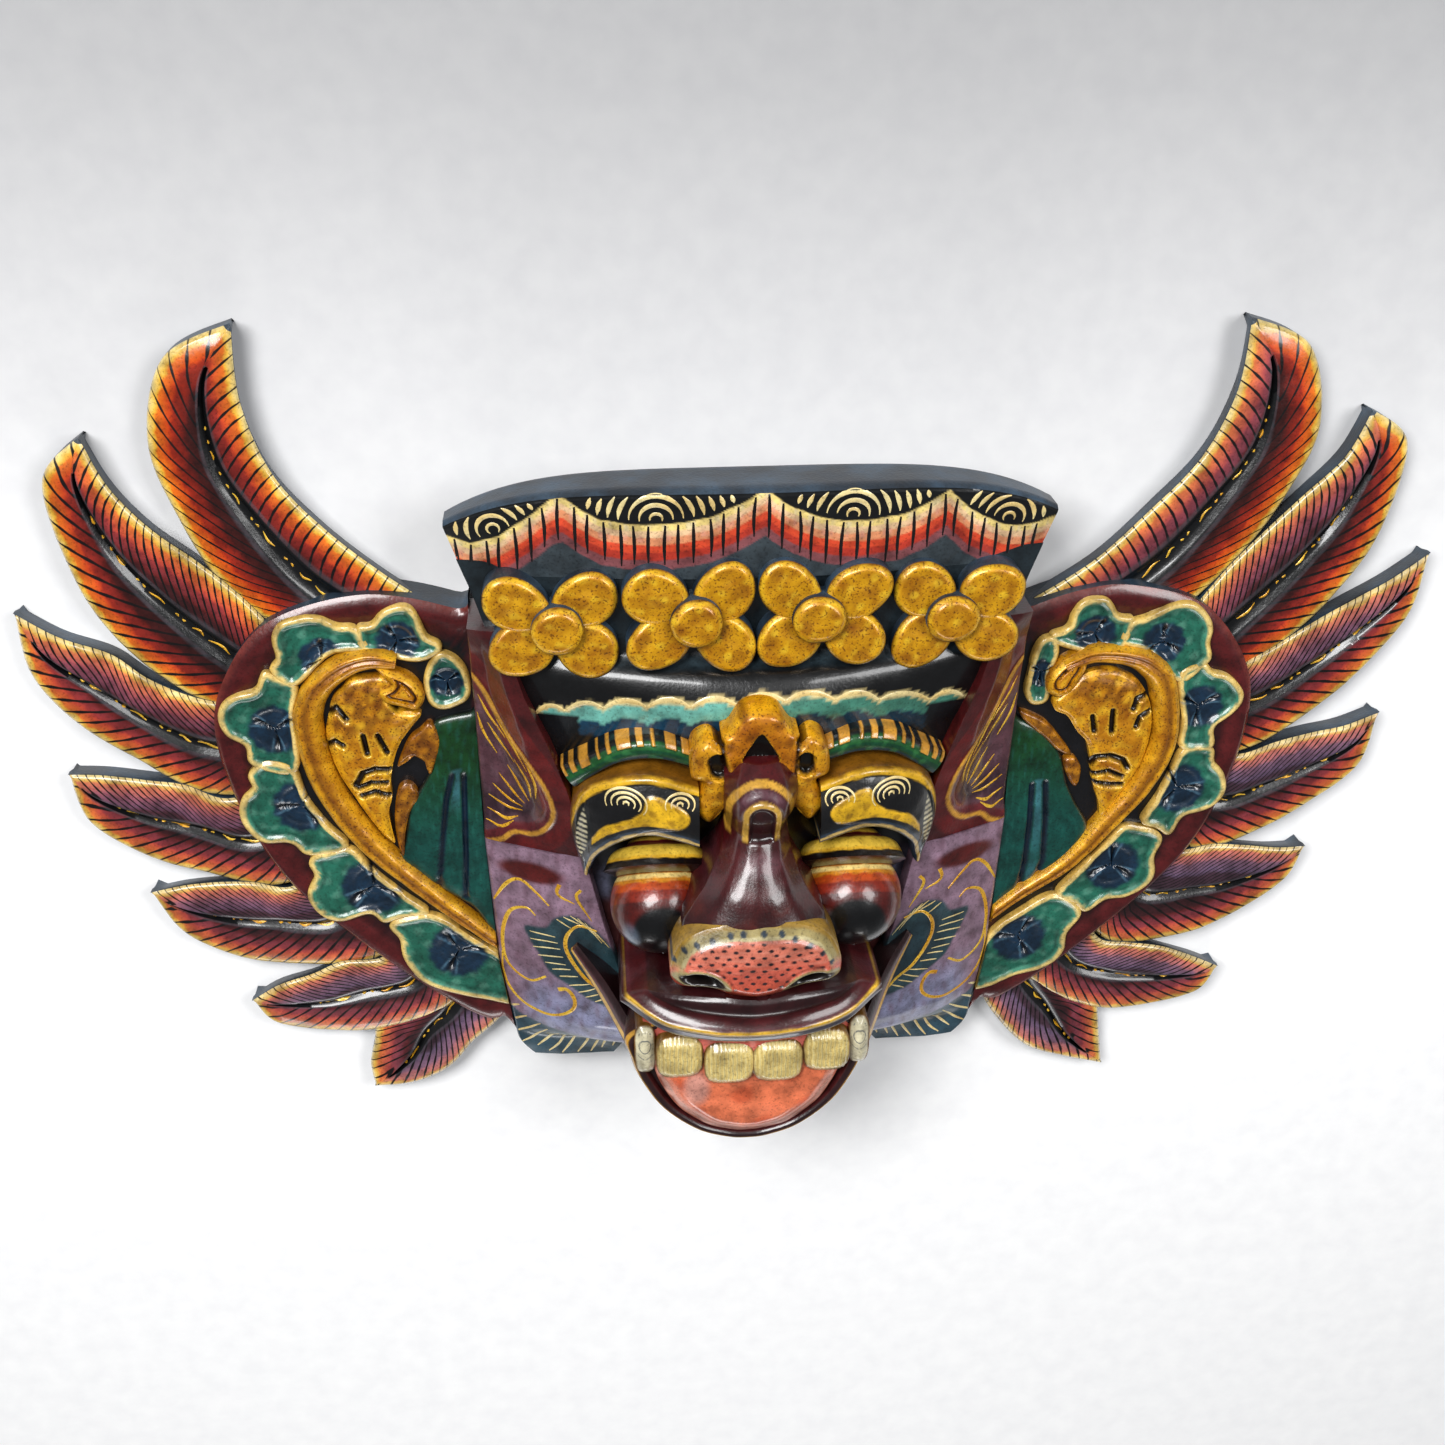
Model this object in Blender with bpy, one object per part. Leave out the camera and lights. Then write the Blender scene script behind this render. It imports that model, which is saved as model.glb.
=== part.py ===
# Winged barong mask of carved and painted wood, lying on its flat back.
# X runs to the viewer's right, Y to the crown and Z out of the face. Sizes are in metres.

import math

import bmesh
import bpy
from mathutils import Matrix, Vector

mm = 0.001

# Boards and walls
gap = 0.3 * mm
wing_tongue = 10 * mm
wing_tongue_reach = 12 * mm
mask_wall = 15 * mm
hollow_depth = 34 * mm

# Side line of the ears and cheeks, where the wings butt against the mask
ear_side = 112 * mm
cheek_side = 109.5 * mm
cheek_foot_side = 103 * mm
ear_top = 58 * mm
ear_foot = -45 * mm
cheek_middle = -110 * mm
cheek_foot = -160 * mm

# Feathers
feather_lip = 13 * mm
feather_under = 11 * mm
vein_depth = 2.2 * mm
vein_width = 8.5 * mm
feather_steps = 7
tip_set_back = 2 * mm
tail_feather_sink = 1.6 * mm

# Medallion of each wing
medallion_height = 20 * mm
lobe_height = 22.5 * mm
leaf_height = 23.5 * mm
scroll_height = 27 * mm

# Crown
crown_half_width = 118 * mm
crown_top = 117 * mm
crown_end_drop = 15 * mm
crown_foot = 80 * mm
crown_foot_half_width = 112 * mm
crown_front = 58 * mm
crown_side_front = 43 * mm
crown_lip = 30 * mm
crown_back_slope = 16 * mm

# Flowers along the brow of the crown
flower_x = (23.5 * mm, 76.5 * mm)
flower_y = (65.5 * mm, 62 * mm)
flower_ground = 46 * mm
petal_height = 60 * mm
flower_eye_height = 64 * mm
petal_radius = 13.5 * mm
flower_eye_radius = 10.5 * mm

# Eyes and brows
eye_x = 39.5 * mm
eye_y = -57 * mm
eye_centre_height = 64 * mm
eye_radius = 20.5 * mm
lid_radius = 25 * mm
lid_rise = 4 * mm

# Snout, lip and mouth; the snout leans a little to the viewer's left
snout_lean = -3.5 * mm
pad_height = 108 * mm
pad_half_width = 34 * mm
tooth_height = 97 * mm
tooth_gap = 1.2 * mm
tongue_height = 92 * mm
tongue_half_width = 36 * mm
jaw_height = 87 * mm
jaw_wall = 8 * mm

colours = {
    "mask": (0.16, 0.03, 0.03, 1.0),
    "wing_left": (0.30, 0.07, 0.02, 1.0),
    "wing_right": (0.30, 0.07, 0.02, 1.0),
}


def clear_scene():
    for item in list(bpy.data.objects):
        bpy.data.objects.remove(item)


def painted_wood(name):
    material = bpy.data.materials.new(name + "_paint")
    material.use_nodes = True
    shader = material.node_tree.nodes["Principled BSDF"]
    shader.inputs["Base Color"].default_value = colours[name]
    shader.inputs["Roughness"].default_value = 0.35
    shader.inputs["Metallic"].default_value = 0.0
    return material


def add_object(name, mesh):
    item = bpy.data.objects.new(name, mesh)
    bpy.context.scene.collection.objects.link(item)
    return item


def finish_mesh(name, bm):
    bmesh.ops.remove_doubles(bm, verts=bm.verts, dist=0.02 * mm)
    bmesh.ops.recalc_face_normals(bm, faces=bm.faces)
    mesh = bpy.data.meshes.new(name)
    bm.to_mesh(mesh)
    bm.free()
    return add_object(name, mesh)


def grid_solid(name, tops, bottoms):
    """Closed body between two grids of points with the same rows and columns."""
    bm = bmesh.new()
    upper = [[bm.verts.new(p) for p in row] for row in tops]
    lower = [[bm.verts.new(p) for p in row] for row in bottoms]
    rows = len(tops)
    columns = len(tops[0])
    for grid in (upper, lower):
        for i in range(rows - 1):
            for j in range(columns - 1):
                bm.faces.new((grid[i][j], grid[i][j + 1], grid[i + 1][j + 1], grid[i + 1][j]))
    for i in range(rows - 1):
        for j in (0, columns - 1):
            bm.faces.new((upper[i][j], upper[i + 1][j], lower[i + 1][j], lower[i][j]))
    for j in range(columns - 1):
        for i in (0, rows - 1):
            bm.faces.new((upper[i][j], upper[i][j + 1], lower[i][j + 1], lower[i][j]))
    return finish_mesh(name, bm)


def relief(name, rows, base=0.0):
    """Block with straight sides: each row is (y, x from, x to, heights across in mm)."""
    tops = []
    for y, x_from, x_to, heights in rows:
        last = len(heights) - 1
        tops.append([(x_from + (x_to - x_from) * j / last, y, heights[j] * mm) for j in range(last + 1)])
    bottoms = [[(x, y, base) for x, y, z in row] for row in tops]
    return grid_solid(name, tops, bottoms)


def both_ways(half):
    """Heights from the middle out, mirrored into a full row."""
    return list(reversed(half[1:])) + list(half)


def along(points, t):
    """Point at t on the smooth curve through the points, open at both ends."""
    last = len(points) - 1
    k = min(int(t * last), last - 1)
    u = t * last - k
    p0, p1, p2, p3 = (points[min(max(k + i, 0), last)] for i in (-1, 0, 1, 2))
    return tuple(
        0.5 * (2 * b + (c - a) * u + (2 * a - 5 * b + 4 * c - d) * u * u + (3 * b - 3 * c + d - a) * u ** 3)
        for a, b, c, d in zip(p0, p1, p2, p3))


def dome(name, centre, radius, base, top, tilt=0.0, squash=1.0, sides=10):
    """Low round button: upright side, one shoulder ring and a point in the middle."""
    bm = bmesh.new()
    rings = []
    for scale, z in ((1.0, base), (1.0, base + 0.62 * (top - base)), (0.62, base + 0.93 * (top - base))):
        ring = []
        for k in range(sides):
            angle = 2 * math.pi * k / sides
            u = radius * scale * math.cos(angle)
            v = radius * squash * scale * math.sin(angle)
            x = centre[0] + u * math.cos(tilt) - v * math.sin(tilt)
            y = centre[1] + u * math.sin(tilt) + v * math.cos(tilt)
            ring.append(bm.verts.new((x, y, z)))
        rings.append(ring)
    for low, high in zip(rings, rings[1:]):
        for k in range(sides):
            n = (k + 1) % sides
            bm.faces.new((low[k], low[n], high[n], high[k]))
    bm.faces.new(rings[0])
    tip = bm.verts.new((centre[0], centre[1], top))
    for k in range(sides):
        bm.faces.new((rings[-1][k], rings[-1][(k + 1) % sides], tip))
    return finish_mesh(name, bm)


def ball(name, centre, radius, segments=14, rings=9):
    bm = bmesh.new()
    bmesh.ops.create_uvsphere(bm, u_segments=segments, v_segments=rings, radius=radius)
    bmesh.ops.translate(bm, verts=bm.verts, vec=centre)
    return finish_mesh(name, bm)


def combine(name, bodies, cutters, one_by_one):
    """Union of the bodies, less the cutters, as one clean mesh; the bodies join in turn or all at once."""
    base = bodies[0]
    for operation, parts in (("UNION", bodies[1:]), ("DIFFERENCE", cutters)):
        if one_by_one:
            for part in parts:
                modifier = base.modifiers.new(part.name, "BOOLEAN")
                modifier.operation = operation
                modifier.solver = "EXACT"
                modifier.object = part
        else:
            group = bpy.data.collections.new(f"{name}_{operation}")
            for part in parts:
                group.objects.link(part)
            modifier = base.modifiers.new(operation, "BOOLEAN")
            modifier.operation = operation
            modifier.solver = "EXACT"
            modifier.operand_type = "COLLECTION"
            modifier.collection = group
    bpy.context.view_layer.update()
    result = base.evaluated_get(bpy.context.evaluated_depsgraph_get())
    mesh = bpy.data.meshes.new_from_object(result)
    for part in list(bodies) + list(cutters):
        bpy.data.objects.remove(part)
    bm = bmesh.new()
    bm.from_mesh(mesh)
    bmesh.ops.remove_doubles(bm, verts=bm.verts, dist=0.01 * mm)
    bmesh.ops.dissolve_degenerate(bm, edges=bm.edges, dist=0.01 * mm)
    bmesh.ops.dissolve_limit(bm, angle_limit=math.radians(0.9), verts=bm.verts, edges=bm.edges)
    bmesh.ops.triangulate(bm, faces=bm.faces)
    bm.to_mesh(mesh)
    bm.free()
    mesh.name = name
    item = add_object(name, mesh)
    mesh.materials.clear()
    mesh.materials.append(painted_wood(name))
    mesh.shade_smooth()
    mesh.set_sharp_from_angle(angle=math.radians(35))
    return item


def tower(name, outline, levels):
    """Stack of rings of one outline: each level is (height, scale, shift along Y)."""
    bm = bmesh.new()
    centre_x = sum(p[0] for p in outline) / len(outline)
    centre_y = sum(p[1] for p in outline) / len(outline)
    rings = []
    for z, scale, shift in levels:
        ring = []
        for x, y in outline:
            point = (centre_x + (x - centre_x) * scale, centre_y + (y - centre_y) * scale + shift, z)
            ring.append(bm.verts.new(point))
        rings.append(ring)
    count = len(outline)
    for low, high in zip(rings, rings[1:]):
        for i in range(count):
            k = (i + 1) % count
            bm.faces.new((low[i], low[k], high[k], high[i]))
    bm.faces.new(rings[0])
    bm.faces.new(rings[-1])
    return finish_mesh(name, bm)


def smooth_line(points, steps):
    """Curve through the points, open at both ends."""
    count = (len(points) - 1) * steps
    return [along(points, i / count) for i in range(count + 1)]


def in_mm(points, side=1):
    """Points given in millimetres, mirrored to the wanted side."""
    return [(p[0] * mm * side,) + tuple(v * mm for v in p[1:]) for p in points]


def strip(name, first, second, base, bulge=0.0, steps=2, columns=5):
    """Rounded ribbon between two curves, with straight walls down to the base."""
    tops = []
    bottoms = []
    for a, b in zip(smooth_line(first, steps), smooth_line(second, steps)):
        row = []
        for j in range(columns):
            s = j / (columns - 1)
            x, y, z = (p + (q - p) * s for p, q in zip(a, b))
            row.append((x, y, z + bulge * math.sin(math.pi * s)))
        tops.append(row)
        bottoms.append([(x, y, base) for x, y, z in row])
    return grid_solid(name, tops, bottoms)


# Each feather by its upper and lower edge from root to tip, in mm out from the middle of the
# face, then how far its back is set in from the upper edge. The two wings were drawn by hand
# and differ a little.
feathers = {
    -1: (
        (((120, 51), (144, 69), (166, 89), (184, 112), (193, 141), (193, 171)),
         ((186, 44), (209, 66), (223, 96), (230, 126), (220, 158), (193, 171)),
         3.8),
        (((190, 46), (203, 63), (218, 78), (234, 92), (247, 109), (255, 129)),
         ((208, 6), (234, 23), (255, 46), (267, 73), (272, 111), (255, 129)),
         2.5),
        (((206, 14), (225, 18), (243, 27), (257, 39), (276, 47), (292, 58)),
         ((204, -30), (231, -26), (254, -10), (275, 7), (290, 30), (292, 58)),
         2),
        (((204, -26), (221, -29), (236, -22), (251, -19), (268, -16), (283, -15)),
         ((184, -68), (207, -74), (233, -66), (256, -57), (278, -39), (283, -15)),
         2),
        (((184, -66), (199, -74), (213, -71), (227, -70), (243, -71), (258, -74)),
         ((154, -106), (170, -116), (202, -115), (225, -110), (247, -96), (258, -74)),
         4),
        (((156, -104), (163, -113), (180, -114), (194, -120), (209, -125), (222, -133)),
         ((124, -130), (138, -144), (163, -152), (183, -153), (212, -147), (222, -133)),
         4),
        (((107, -132), (111, -148), (125, -162), (137, -176), (154, -184), (172, -185)),
         ((150, -130), (159, -140), (168, -150), (170, -160), (173, -173), (172, -185)),
         0.5),
    ),
    1: (
        (((120, 51), (144, 67), (165, 88), (184, 110), (195, 137), (197, 166)),
         ((186, 44), (207, 67), (223, 94), (232, 122), (223, 154), (197, 166)),
         3.8),
        (((190, 46), (202, 63), (216, 79), (230, 94), (244, 109), (252, 128)),
         ((208, 6), (232, 27), (251, 49), (265, 75), (270, 113), (252, 128)),
         2.5),
        (((206, 14), (223, 23), (239, 34), (255, 44), (272, 54), (288, 66)),
         ((204, -30), (228, -22), (252, -4), (270, 15), (285, 39), (288, 66)),
         2),
        (((204, -26), (220, -26), (234, -21), (249, -17), (264, -14), (279, -8)),
         ((184, -68), (209, -75), (234, -66), (256, -52), (275, -34), (279, -8)),
         2),
        (((184, -66), (197, -74), (212, -72), (227, -73), (242, -75), (256, -75)),
         ((154, -106), (171, -123), (199, -122), (222, -114), (249, -94), (256, -75)),
         4),
        (((156, -104), (165, -120), (179, -123), (195, -126), (210, -132), (224, -139)),
         ((124, -130), (140, -147), (163, -159), (184, -161), (215, -154), (224, -139)),
         4),
        (((107, -132), (113, -151), (124, -168), (137, -181), (155, -188), (174, -193)),
         ((150, -130), (158, -141), (167, -152), (170, -166), (172, -180), (174, -193)),
         0.5),
    ),
}

medallion_edge = {
    -1: ((100, 46), (118, 57), (154, 64), (192, 53.5), (212, 30), (219, 3), (211, -37), (193, -73),
         (154, -115), (122, -141), (110, -143), (100, -134)),
    1: ((100, 40), (118, 50), (140, 57), (160, 58), (190, 49), (210, 26), (217, 0), (211, -39), (193, -77),
        (154, -118), (122, -143), (110, -145), (100, -136)),
}

# Cloud-shaped lobes round the medallion, from the crown down to the jaw
lobes = {
    -1: (
        ((155.5, 41), (156, 45.5), (159.5, 51.5), (165.5, 51.5), (169, 54.5), (174.5, 56), (180.5, 55),
         (186.5, 53), (189.5, 47.5), (188.5, 38.5), (191.5, 37), (191, 33.5), (183.5, 27.5),
         (168.5, 40)),
        ((155, 42), (156, 48.5), (155.5, 52), (150.5, 52), (147, 56.5), (142, 59), (138, 59.5),
         (134, 57), (130.5, 46.5), (127, 45), (125.5, 40.5), (135, 36.5), (148.5, 40)),
        ((184, 25), (191.5, 29), (196, 32), (198.5, 26.5), (200, 23.5), (205, 23), (211, 20.5),
         (214.5, 15), (214, 9), (211.5, 4.5), (205.5, 1), (205, -7), (188, -10.5), (186.5, 14)),
        ((188, -13.5), (194, -10), (201, -9.5), (207, -16), (204, -20), (208.5, -23), (211, -28),
         (211, -35), (207.5, -41.5), (203, -45), (193, -45), (189.5, -50.5), (184, -51), (171, -48),
         (178.5, -38), (185.5, -25.5)),
        ((168.5, -51.5), (176, -53), (183, -54), (186, -59), (183, -63.5), (186.5, -68.5),
         (187.5, -73.5), (185.5, -79), (181, -84), (175, -85.5), (163, -82), (160, -87.5),
         (151, -84.5), (140, -83.5), (150, -74), (160, -63.5)),
        ((138.5, -86.5), (147, -88), (153, -89.5), (154.5, -93), (150, -97.5), (150, -105),
         (147.5, -112), (143, -119), (136.5, -123), (126, -127), (115, -130), (106, -131.5),
         (106, -112.5), (110.5, -107.5), (122, -99), (130, -90.5)),
        ((125, 38.5), (119, 36), (115, 29), (115, 20), (120.5, 16), (126.5, 15), (130.5, 18.5),
         (131.5, 27.5), (129, 34)),
    ),
    1: (
        ((158, 33), (159, 39.5), (161, 43), (166, 44), (172, 47), (177, 49.5), (183.5, 49.5),
         (187.5, 47.5), (191.5, 43), (193.5, 37.5), (192.5, 32.5), (194.5, 27), (193, 24), (182.5, 16),
         (168.5, 29.5)),
        ((155.5, 31.5), (159, 42), (159.5, 45), (153.5, 45.5), (151, 49.5), (148, 53), (143, 53.5),
         (138, 52), (135, 47), (134, 41.5), (129.5, 40), (127, 38.5), (129, 35), (141, 31)),
        ((183.5, 15), (187, 19.5), (191, 21), (194.5, 21.5), (197, 17.5), (202.5, 16.5), (207.5, 12.5),
         (211, 7), (209.5, 1.5), (205, -3), (200.5, -7), (201.5, -16), (188, -15.5), (187.5, -3)),
        ((188, -20), (194, -18), (199, -18), (202.5, -20.5), (202, -25.5), (206.5, -29.5), (209, -37),
         (208, -41.5), (204.5, -46), (198, -48.5), (192.5, -50), (188.5, -59), (183, -55),
         (175.5, -52), (181, -40.5), (185, -30)),
        ((166, -56.5), (174, -57.5), (179.5, -59), (183.5, -63.5), (180.5, -71.5), (182, -79),
         (180.5, -84), (176, -88), (169.5, -91), (162.5, -91), (154.5, -97.5), (149.5, -92),
         (141, -88), (149, -77), (158, -66.5)),
        ((134.5, -91), (141.5, -91.5), (147, -95.5), (150, -101.5), (144, -110.5), (144.5, -117.5),
         (140.5, -124), (133, -128), (124, -130), (112.5, -135.5), (104.5, -135.5), (104.5, -127.5),
         (106.5, -116.5), (115, -105), (123.5, -98.5)),
        ((127.5, 36), (122.5, 35.5), (119.5, 29.5), (118.5, 22), (117.5, 13.5), (120.5, 8), (126, 8.5),
         (127.5, 13), (127, 20), (129.5, 29.5)),
    ),
}

# Middle line of the scroll from the curl to the tail, with its width
scroll_line = {
    -1: ((142.5, 36.5, 6), (150.5, 38, 9), (158.5, 37, 10), (166.5, 33, 10.5), (174, 26.5, 11),
         (179, 18, 12), (180.5, 6.5, 12.5), (176, -19, 12.5), (162, -46, 12), (139, -72, 10),
         (115, -95.5, 8), (108.5, -101, 7)),
    1: ((132.5, 25, 6), (138, 27.5, 7), (146, 29.5, 8), (159, 28, 9), (169, 23.5, 11),
         (176.5, 13.5, 12), (180, -12, 12), (172.5, -33, 12), (158, -53, 11), (142, -72, 9.5),
         (121.5, -87, 8), (107.5, -99, 7)),
}
scroll_curl = {
    -1: ((152, 36), (144.5, 33.5), (137.5, 30), (133, 24), (132.5, 19.5), (135.5, 15.5), (140.5, 16.5),
         (148, 19), (150.5, 24), (146, 27), (146.5, 29)),
    1: ((141, 30.5), (134.5, 29.5), (129, 25), (125.5, 19.5), (126, 13.5), (130.5, 11), (136, 13),
         (139, 18.5), (141.5, 23.5)),
}

inner_leaf = {
    -1: ((160.5, 29.5), (147.5, 30), (144.5, 24.5), (146, 20), (144, 14.5), (134.5, 13), (138.5, 7),
         (144, -0.5), (147.5, -9.5), (149.5, -19), (149.5, -26), (151.5, -33.5), (151, -43),
         (150, -48), (154, -44.5), (159.5, -35.5), (164.5, -25.5), (169.5, -15), (172.5, -4),
         (173.5, 5.5), (171.5, 14.5), (169.5, 21), (166, 24.5)),
    1: ((147.5, 22), (154, 22), (159.5, 20), (165.5, 16), (170.5, 8), (173, -1.5), (173, -10),
         (171.5, -20), (168, -29.5), (163.5, -37.5), (156, -49), (154, -42), (150.5, -32),
         (148.5, -22.5), (146, -12.5), (141, -6.5), (136, 1), (130.5, 4), (130, 9.5), (137.5, 16.5),
         (141.5, 20)),
}
side_leaf = {
    -1: ((108, 13), (114.5, 12), (127, 9.5), (130.5, 6.5), (133, -2.5), (132, -12), (138, -23.5),
         (142.5, -30.5), (146, -47.5), (149, -57), (143, -62.5), (133, -72), (120.5, -81.5),
         (107, -92.5)),
    1: ((109, 4), (116, 0), (125, -5), (132.5, -13.5), (136.5, -21), (139, -31), (143.5, -41),
         (150.5, -54), (148.5, -66.5), (140, -75.5), (129.5, -81), (118.5, -88.5), (107, -95.5)),
}


def side_x(y):
    """Where the ears and cheeks end sideways at a height y along the face."""
    points = ((ear_foot, ear_side), (cheek_middle, cheek_side), (cheek_foot, cheek_foot_side))
    if y >= ear_foot:
        return ear_side
    for (y1, x1), (y2, x2) in zip(points, points[1:]):
        if y >= y2:
            return x1 + (x2 - x1) * (y1 - y) / (y1 - y2)
    return cheek_foot_side


def feather(name, side, upper, lower, set_back, over):
    """Leaf-shaped board with a sunk vein; its tip closes to one edge and its back leans in."""
    tops = []
    bottoms = []
    high = feather_lip - over
    low = feather_under - over
    for i in range(feather_steps + 1):
        t = math.sin(0.5 * math.pi * i / feather_steps)
        a = Vector(along(upper, t)) * mm
        b = Vector(along(lower, t)) * mm
        width = (b - a).length
        half = min(0.5 * vein_width / max(width, mm), 0.28)
        fade = min(1.0, max(0.0, (0.93 - t) / 0.1))
        across = (
            (0.0, high - 0.8 * mm),
            (0.48 - half, high),
            (0.48, 0.5 * (high + low) - vein_depth * fade),
            (0.48 + half, low + 0.6 * mm),
            (1.0, low - 0.6 * mm),
        )
        if i == feather_steps:
            across = [(s, 0.5 * (high + low)) for s, z in across]
            root = Vector(along(upper, 0.9)).lerp(Vector(along(lower, 0.9)), 0.5) * mm
            inset = (root - a).normalized() * tip_set_back
        else:
            inset = (b - a) / max(width, mm) * min(set_back * mm, 0.4 * width)
        top = []
        back = []
        for s, z in across:
            p = a.lerp(b, s)
            q = p + inset * (1 - s) if i < feather_steps else p + inset
            top.append((p.x * side, p.y, z))
            back.append((q.x * side, q.y, 0.0))
        tops.append(top)
        bottoms.append(back)
    return grid_solid(name, tops, bottoms)


def wing(name, side):
    parts = []
    outline = in_mm(smooth_line(medallion_edge[side], 3), side)
    parts.append(tower(name + "_plate", outline, (
        (0.0, 1.0, 0.0), (medallion_height - 2 * mm, 1.0, 0.0), (medallion_height, 0.97, 0.0))))
    for number, (upper, lower, set_back) in enumerate(feathers[side], 1):
        over = tail_feather_sink if number == len(feathers[side]) else 0.0
        parts.append(feather(f"{name}_feather_{number}", side, upper, lower, set_back, over))
    for number, points in enumerate(lobes[side], 1):
        parts.append(raised_leaf(f"{name}_lobe_{number}", in_mm(points, side), lobe_height, 0.86))
    parts.append(scroll(name + "_scroll", side))
    parts.append(raised_leaf(name + "_curl", in_mm(scroll_curl[side], side), scroll_height - 1 * mm, 0.7))
    parts.append(raised_leaf(name + "_inner_leaf", in_mm(inner_leaf[side], side), leaf_height, 0.9))
    parts.append(raised_leaf(name + "_side_leaf", in_mm(side_leaf[side], side), lobe_height, 0.9))
    return combine(name, parts, [mask_side_cutter(name + "_seat", side)], one_by_one=True)


def raised_leaf(name, outline, height, top_scale):
    """Low leaf on the medallion, with its top edge eased."""
    sunk = 0.4 * medallion_height
    return tower(name, outline, ((sunk, 1.0, 0.0), (height - 1 * mm, 1.0, 0.0), (height, top_scale, 0.0)))


def scroll(name, side):
    """Half-round raised comma that runs round the medallion and thins to its tail."""
    line = in_mm(smooth_line(scroll_line[side], 2), side)
    tops = []
    bottoms = []
    for i, (x, y, width) in enumerate(line):
        ahead = line[min(i + 1, len(line) - 1)]
        behind = line[max(i - 1, 0)]
        along = Vector((ahead[0] - behind[0], ahead[1] - behind[1])).normalized()
        normal = Vector((-along.y, along.x))
        row = []
        for s, rise in ((-1, 0.0), (-0.62, 0.78), (0, 1.0), (0.62, 0.78), (1, 0.0)):
            p = Vector((x, y)) + normal * (0.5 * width * s)
            z = medallion_height - 1 * mm + (scroll_height - medallion_height + 1 * mm) * rise
            row.append((p.x, p.y, z))
        tops.append(row)
        bottoms.append([(px, py, 0.4 * medallion_height) for px, py, z in row])
    return grid_solid(name, tops, bottoms)


def mask_side_cutter(name, side):
    """Room for the ear and cheek of the mask, above the tongue that runs under them."""
    reach = ear_side - wing_tongue_reach - 20 * mm
    line = [(ear_side, ear_top + 20 * mm), (ear_side, ear_foot), (cheek_side, cheek_middle),
            (cheek_foot_side, cheek_foot), (cheek_foot_side, cheek_foot - 20 * mm)]
    tops = [[(x * side, y, 80 * mm) for x, y in ((reach, y1), (x1 + gap, y1))] for x1, y1 in line]
    bottoms = [[(x, y, wing_tongue) for x, y, z in row] for row in tops]
    return grid_solid(name, tops, bottoms)


def crown():
    tops = []
    bottoms = []
    columns = 12
    rows = 4
    for i in range(rows + 1):
        v = i / rows
        row = []
        for j in range(columns + 1):
            f = -1 + 2 * j / columns
            half = crown_half_width + (crown_foot_half_width - crown_half_width) * v
            rim = crown_top - crown_end_drop * abs(f) ** 4.5
            y = rim + (crown_foot - rim) * v
            z = crown_front + (crown_side_front - crown_front) * f * f - 5 * mm * v
            row.append((half * f, y, z))
        tops.append(row)
        back = []
        for j, (x, y, z) in enumerate(row):
            end = abs(-1 + 2 * j / columns) ** 3
            back.append((x * (1 - 0.04 * end), y - 6 * mm * end * (1 - v), 0.0))
        bottoms.append(back)
    return grid_solid("crown", tops, bottoms)


def head_blocks():
    parts = []
    rows = []
    for y, half, heights in (
            (84, 112, (53, 52, 50, 47, 44, 40)),
            (72, 107, (50, 50, 49, 47, 44, 40)),
            (58, 103, (48, 48, 47, 46, 44, 40)),
            (45, 100, (48, 48, 47, 46, 44, 40)),
            (42, 99, (57, 57, 55, 52, 47, 42)),
            (35, 96, (62, 61, 58, 54, 48, 42)),
            (27, 93, (64, 63, 59, 54, 48, 42)),
            (14, 88, (60, 59, 56, 52, 46, 41)),
            (2, 84, (66, 60, 55, 50, 44, 39)),
            (-12, 80, (72, 60, 52, 46, 42, 38)),
            (-28, 78, (78, 60, 46, 42, 40, 37)),
            (-44, 77, (82, 60, 44, 42, 40, 36)),
            (-60, 77, (84, 66, 48, 42, 38, 34)),
            (-76, 77, (84, 76, 56, 44, 38, 33)),
            (-92, 78, (84, 80, 60, 46, 38, 32)),
            (-108, 77, (78, 76, 58, 44, 36, 30)),
            (-124, 70, (66, 64, 52, 40, 32, 26)),
            (-140, 56, (44, 42, 38, 32, 26, 20))):
        rows.append((y * mm, -half * mm, half * mm, both_ways(heights)))
    parts.append(relief("head", rows))
    for side, label in ((-1, "left"), (1, "right")):
        parts.append(relief("ear_" + label, mirrored(side, (
            (ear_top, 98, (45, 45, 44, 42)),
            (46 * mm, 95, (48, 46, 40, 36)),
            (30 * mm, 90, (50, 47, 38, 33)),
            (10 * mm, 82, (51, 46, 36, 31)),
            (-12 * mm, 75, (50, 44, 34, 29)),
            (-30 * mm, 71, (48, 42, 33, 27)),
            (ear_foot, 70, (46, 40, 33, 26))))))
        parts.append(relief("cheek_" + label, mirrored(side, (
            (ear_foot + 2 * mm, 70, (44, 41, 34, 26)),
            (-80 * mm, 62, (46, 43, 34, 24)),
            (cheek_middle, 54, (47, 43, 34, 22)),
            (-135 * mm, 49, (46, 41, 33, 21)),
            (-150 * mm, 52, (42, 37, 30, 20))))))
        foot = in_mm(((51, -148), (56, -157), (70, -162.5), (86, -163), (97, -161), (103.5, -148)), side)
        parts.append(tower("cheek_foot_" + label, foot, (
            (0.0, 1.0, 0.0), (19 * mm, 1.0, 0.0), (22 * mm, 0.95, 1 * mm))))
    return parts


def mirrored(side, rows):
    """Rows from the middle of the face out to its side line, on the wanted side."""
    out = []
    for y, x_from, heights in rows:
        ends = (x_from * mm, side_x(y))
        if side < 0:
            out.append((y, -ends[1], -ends[0], tuple(reversed(heights))))
        else:
            out.append((y, ends[0], ends[1], heights))
    return out


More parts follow.
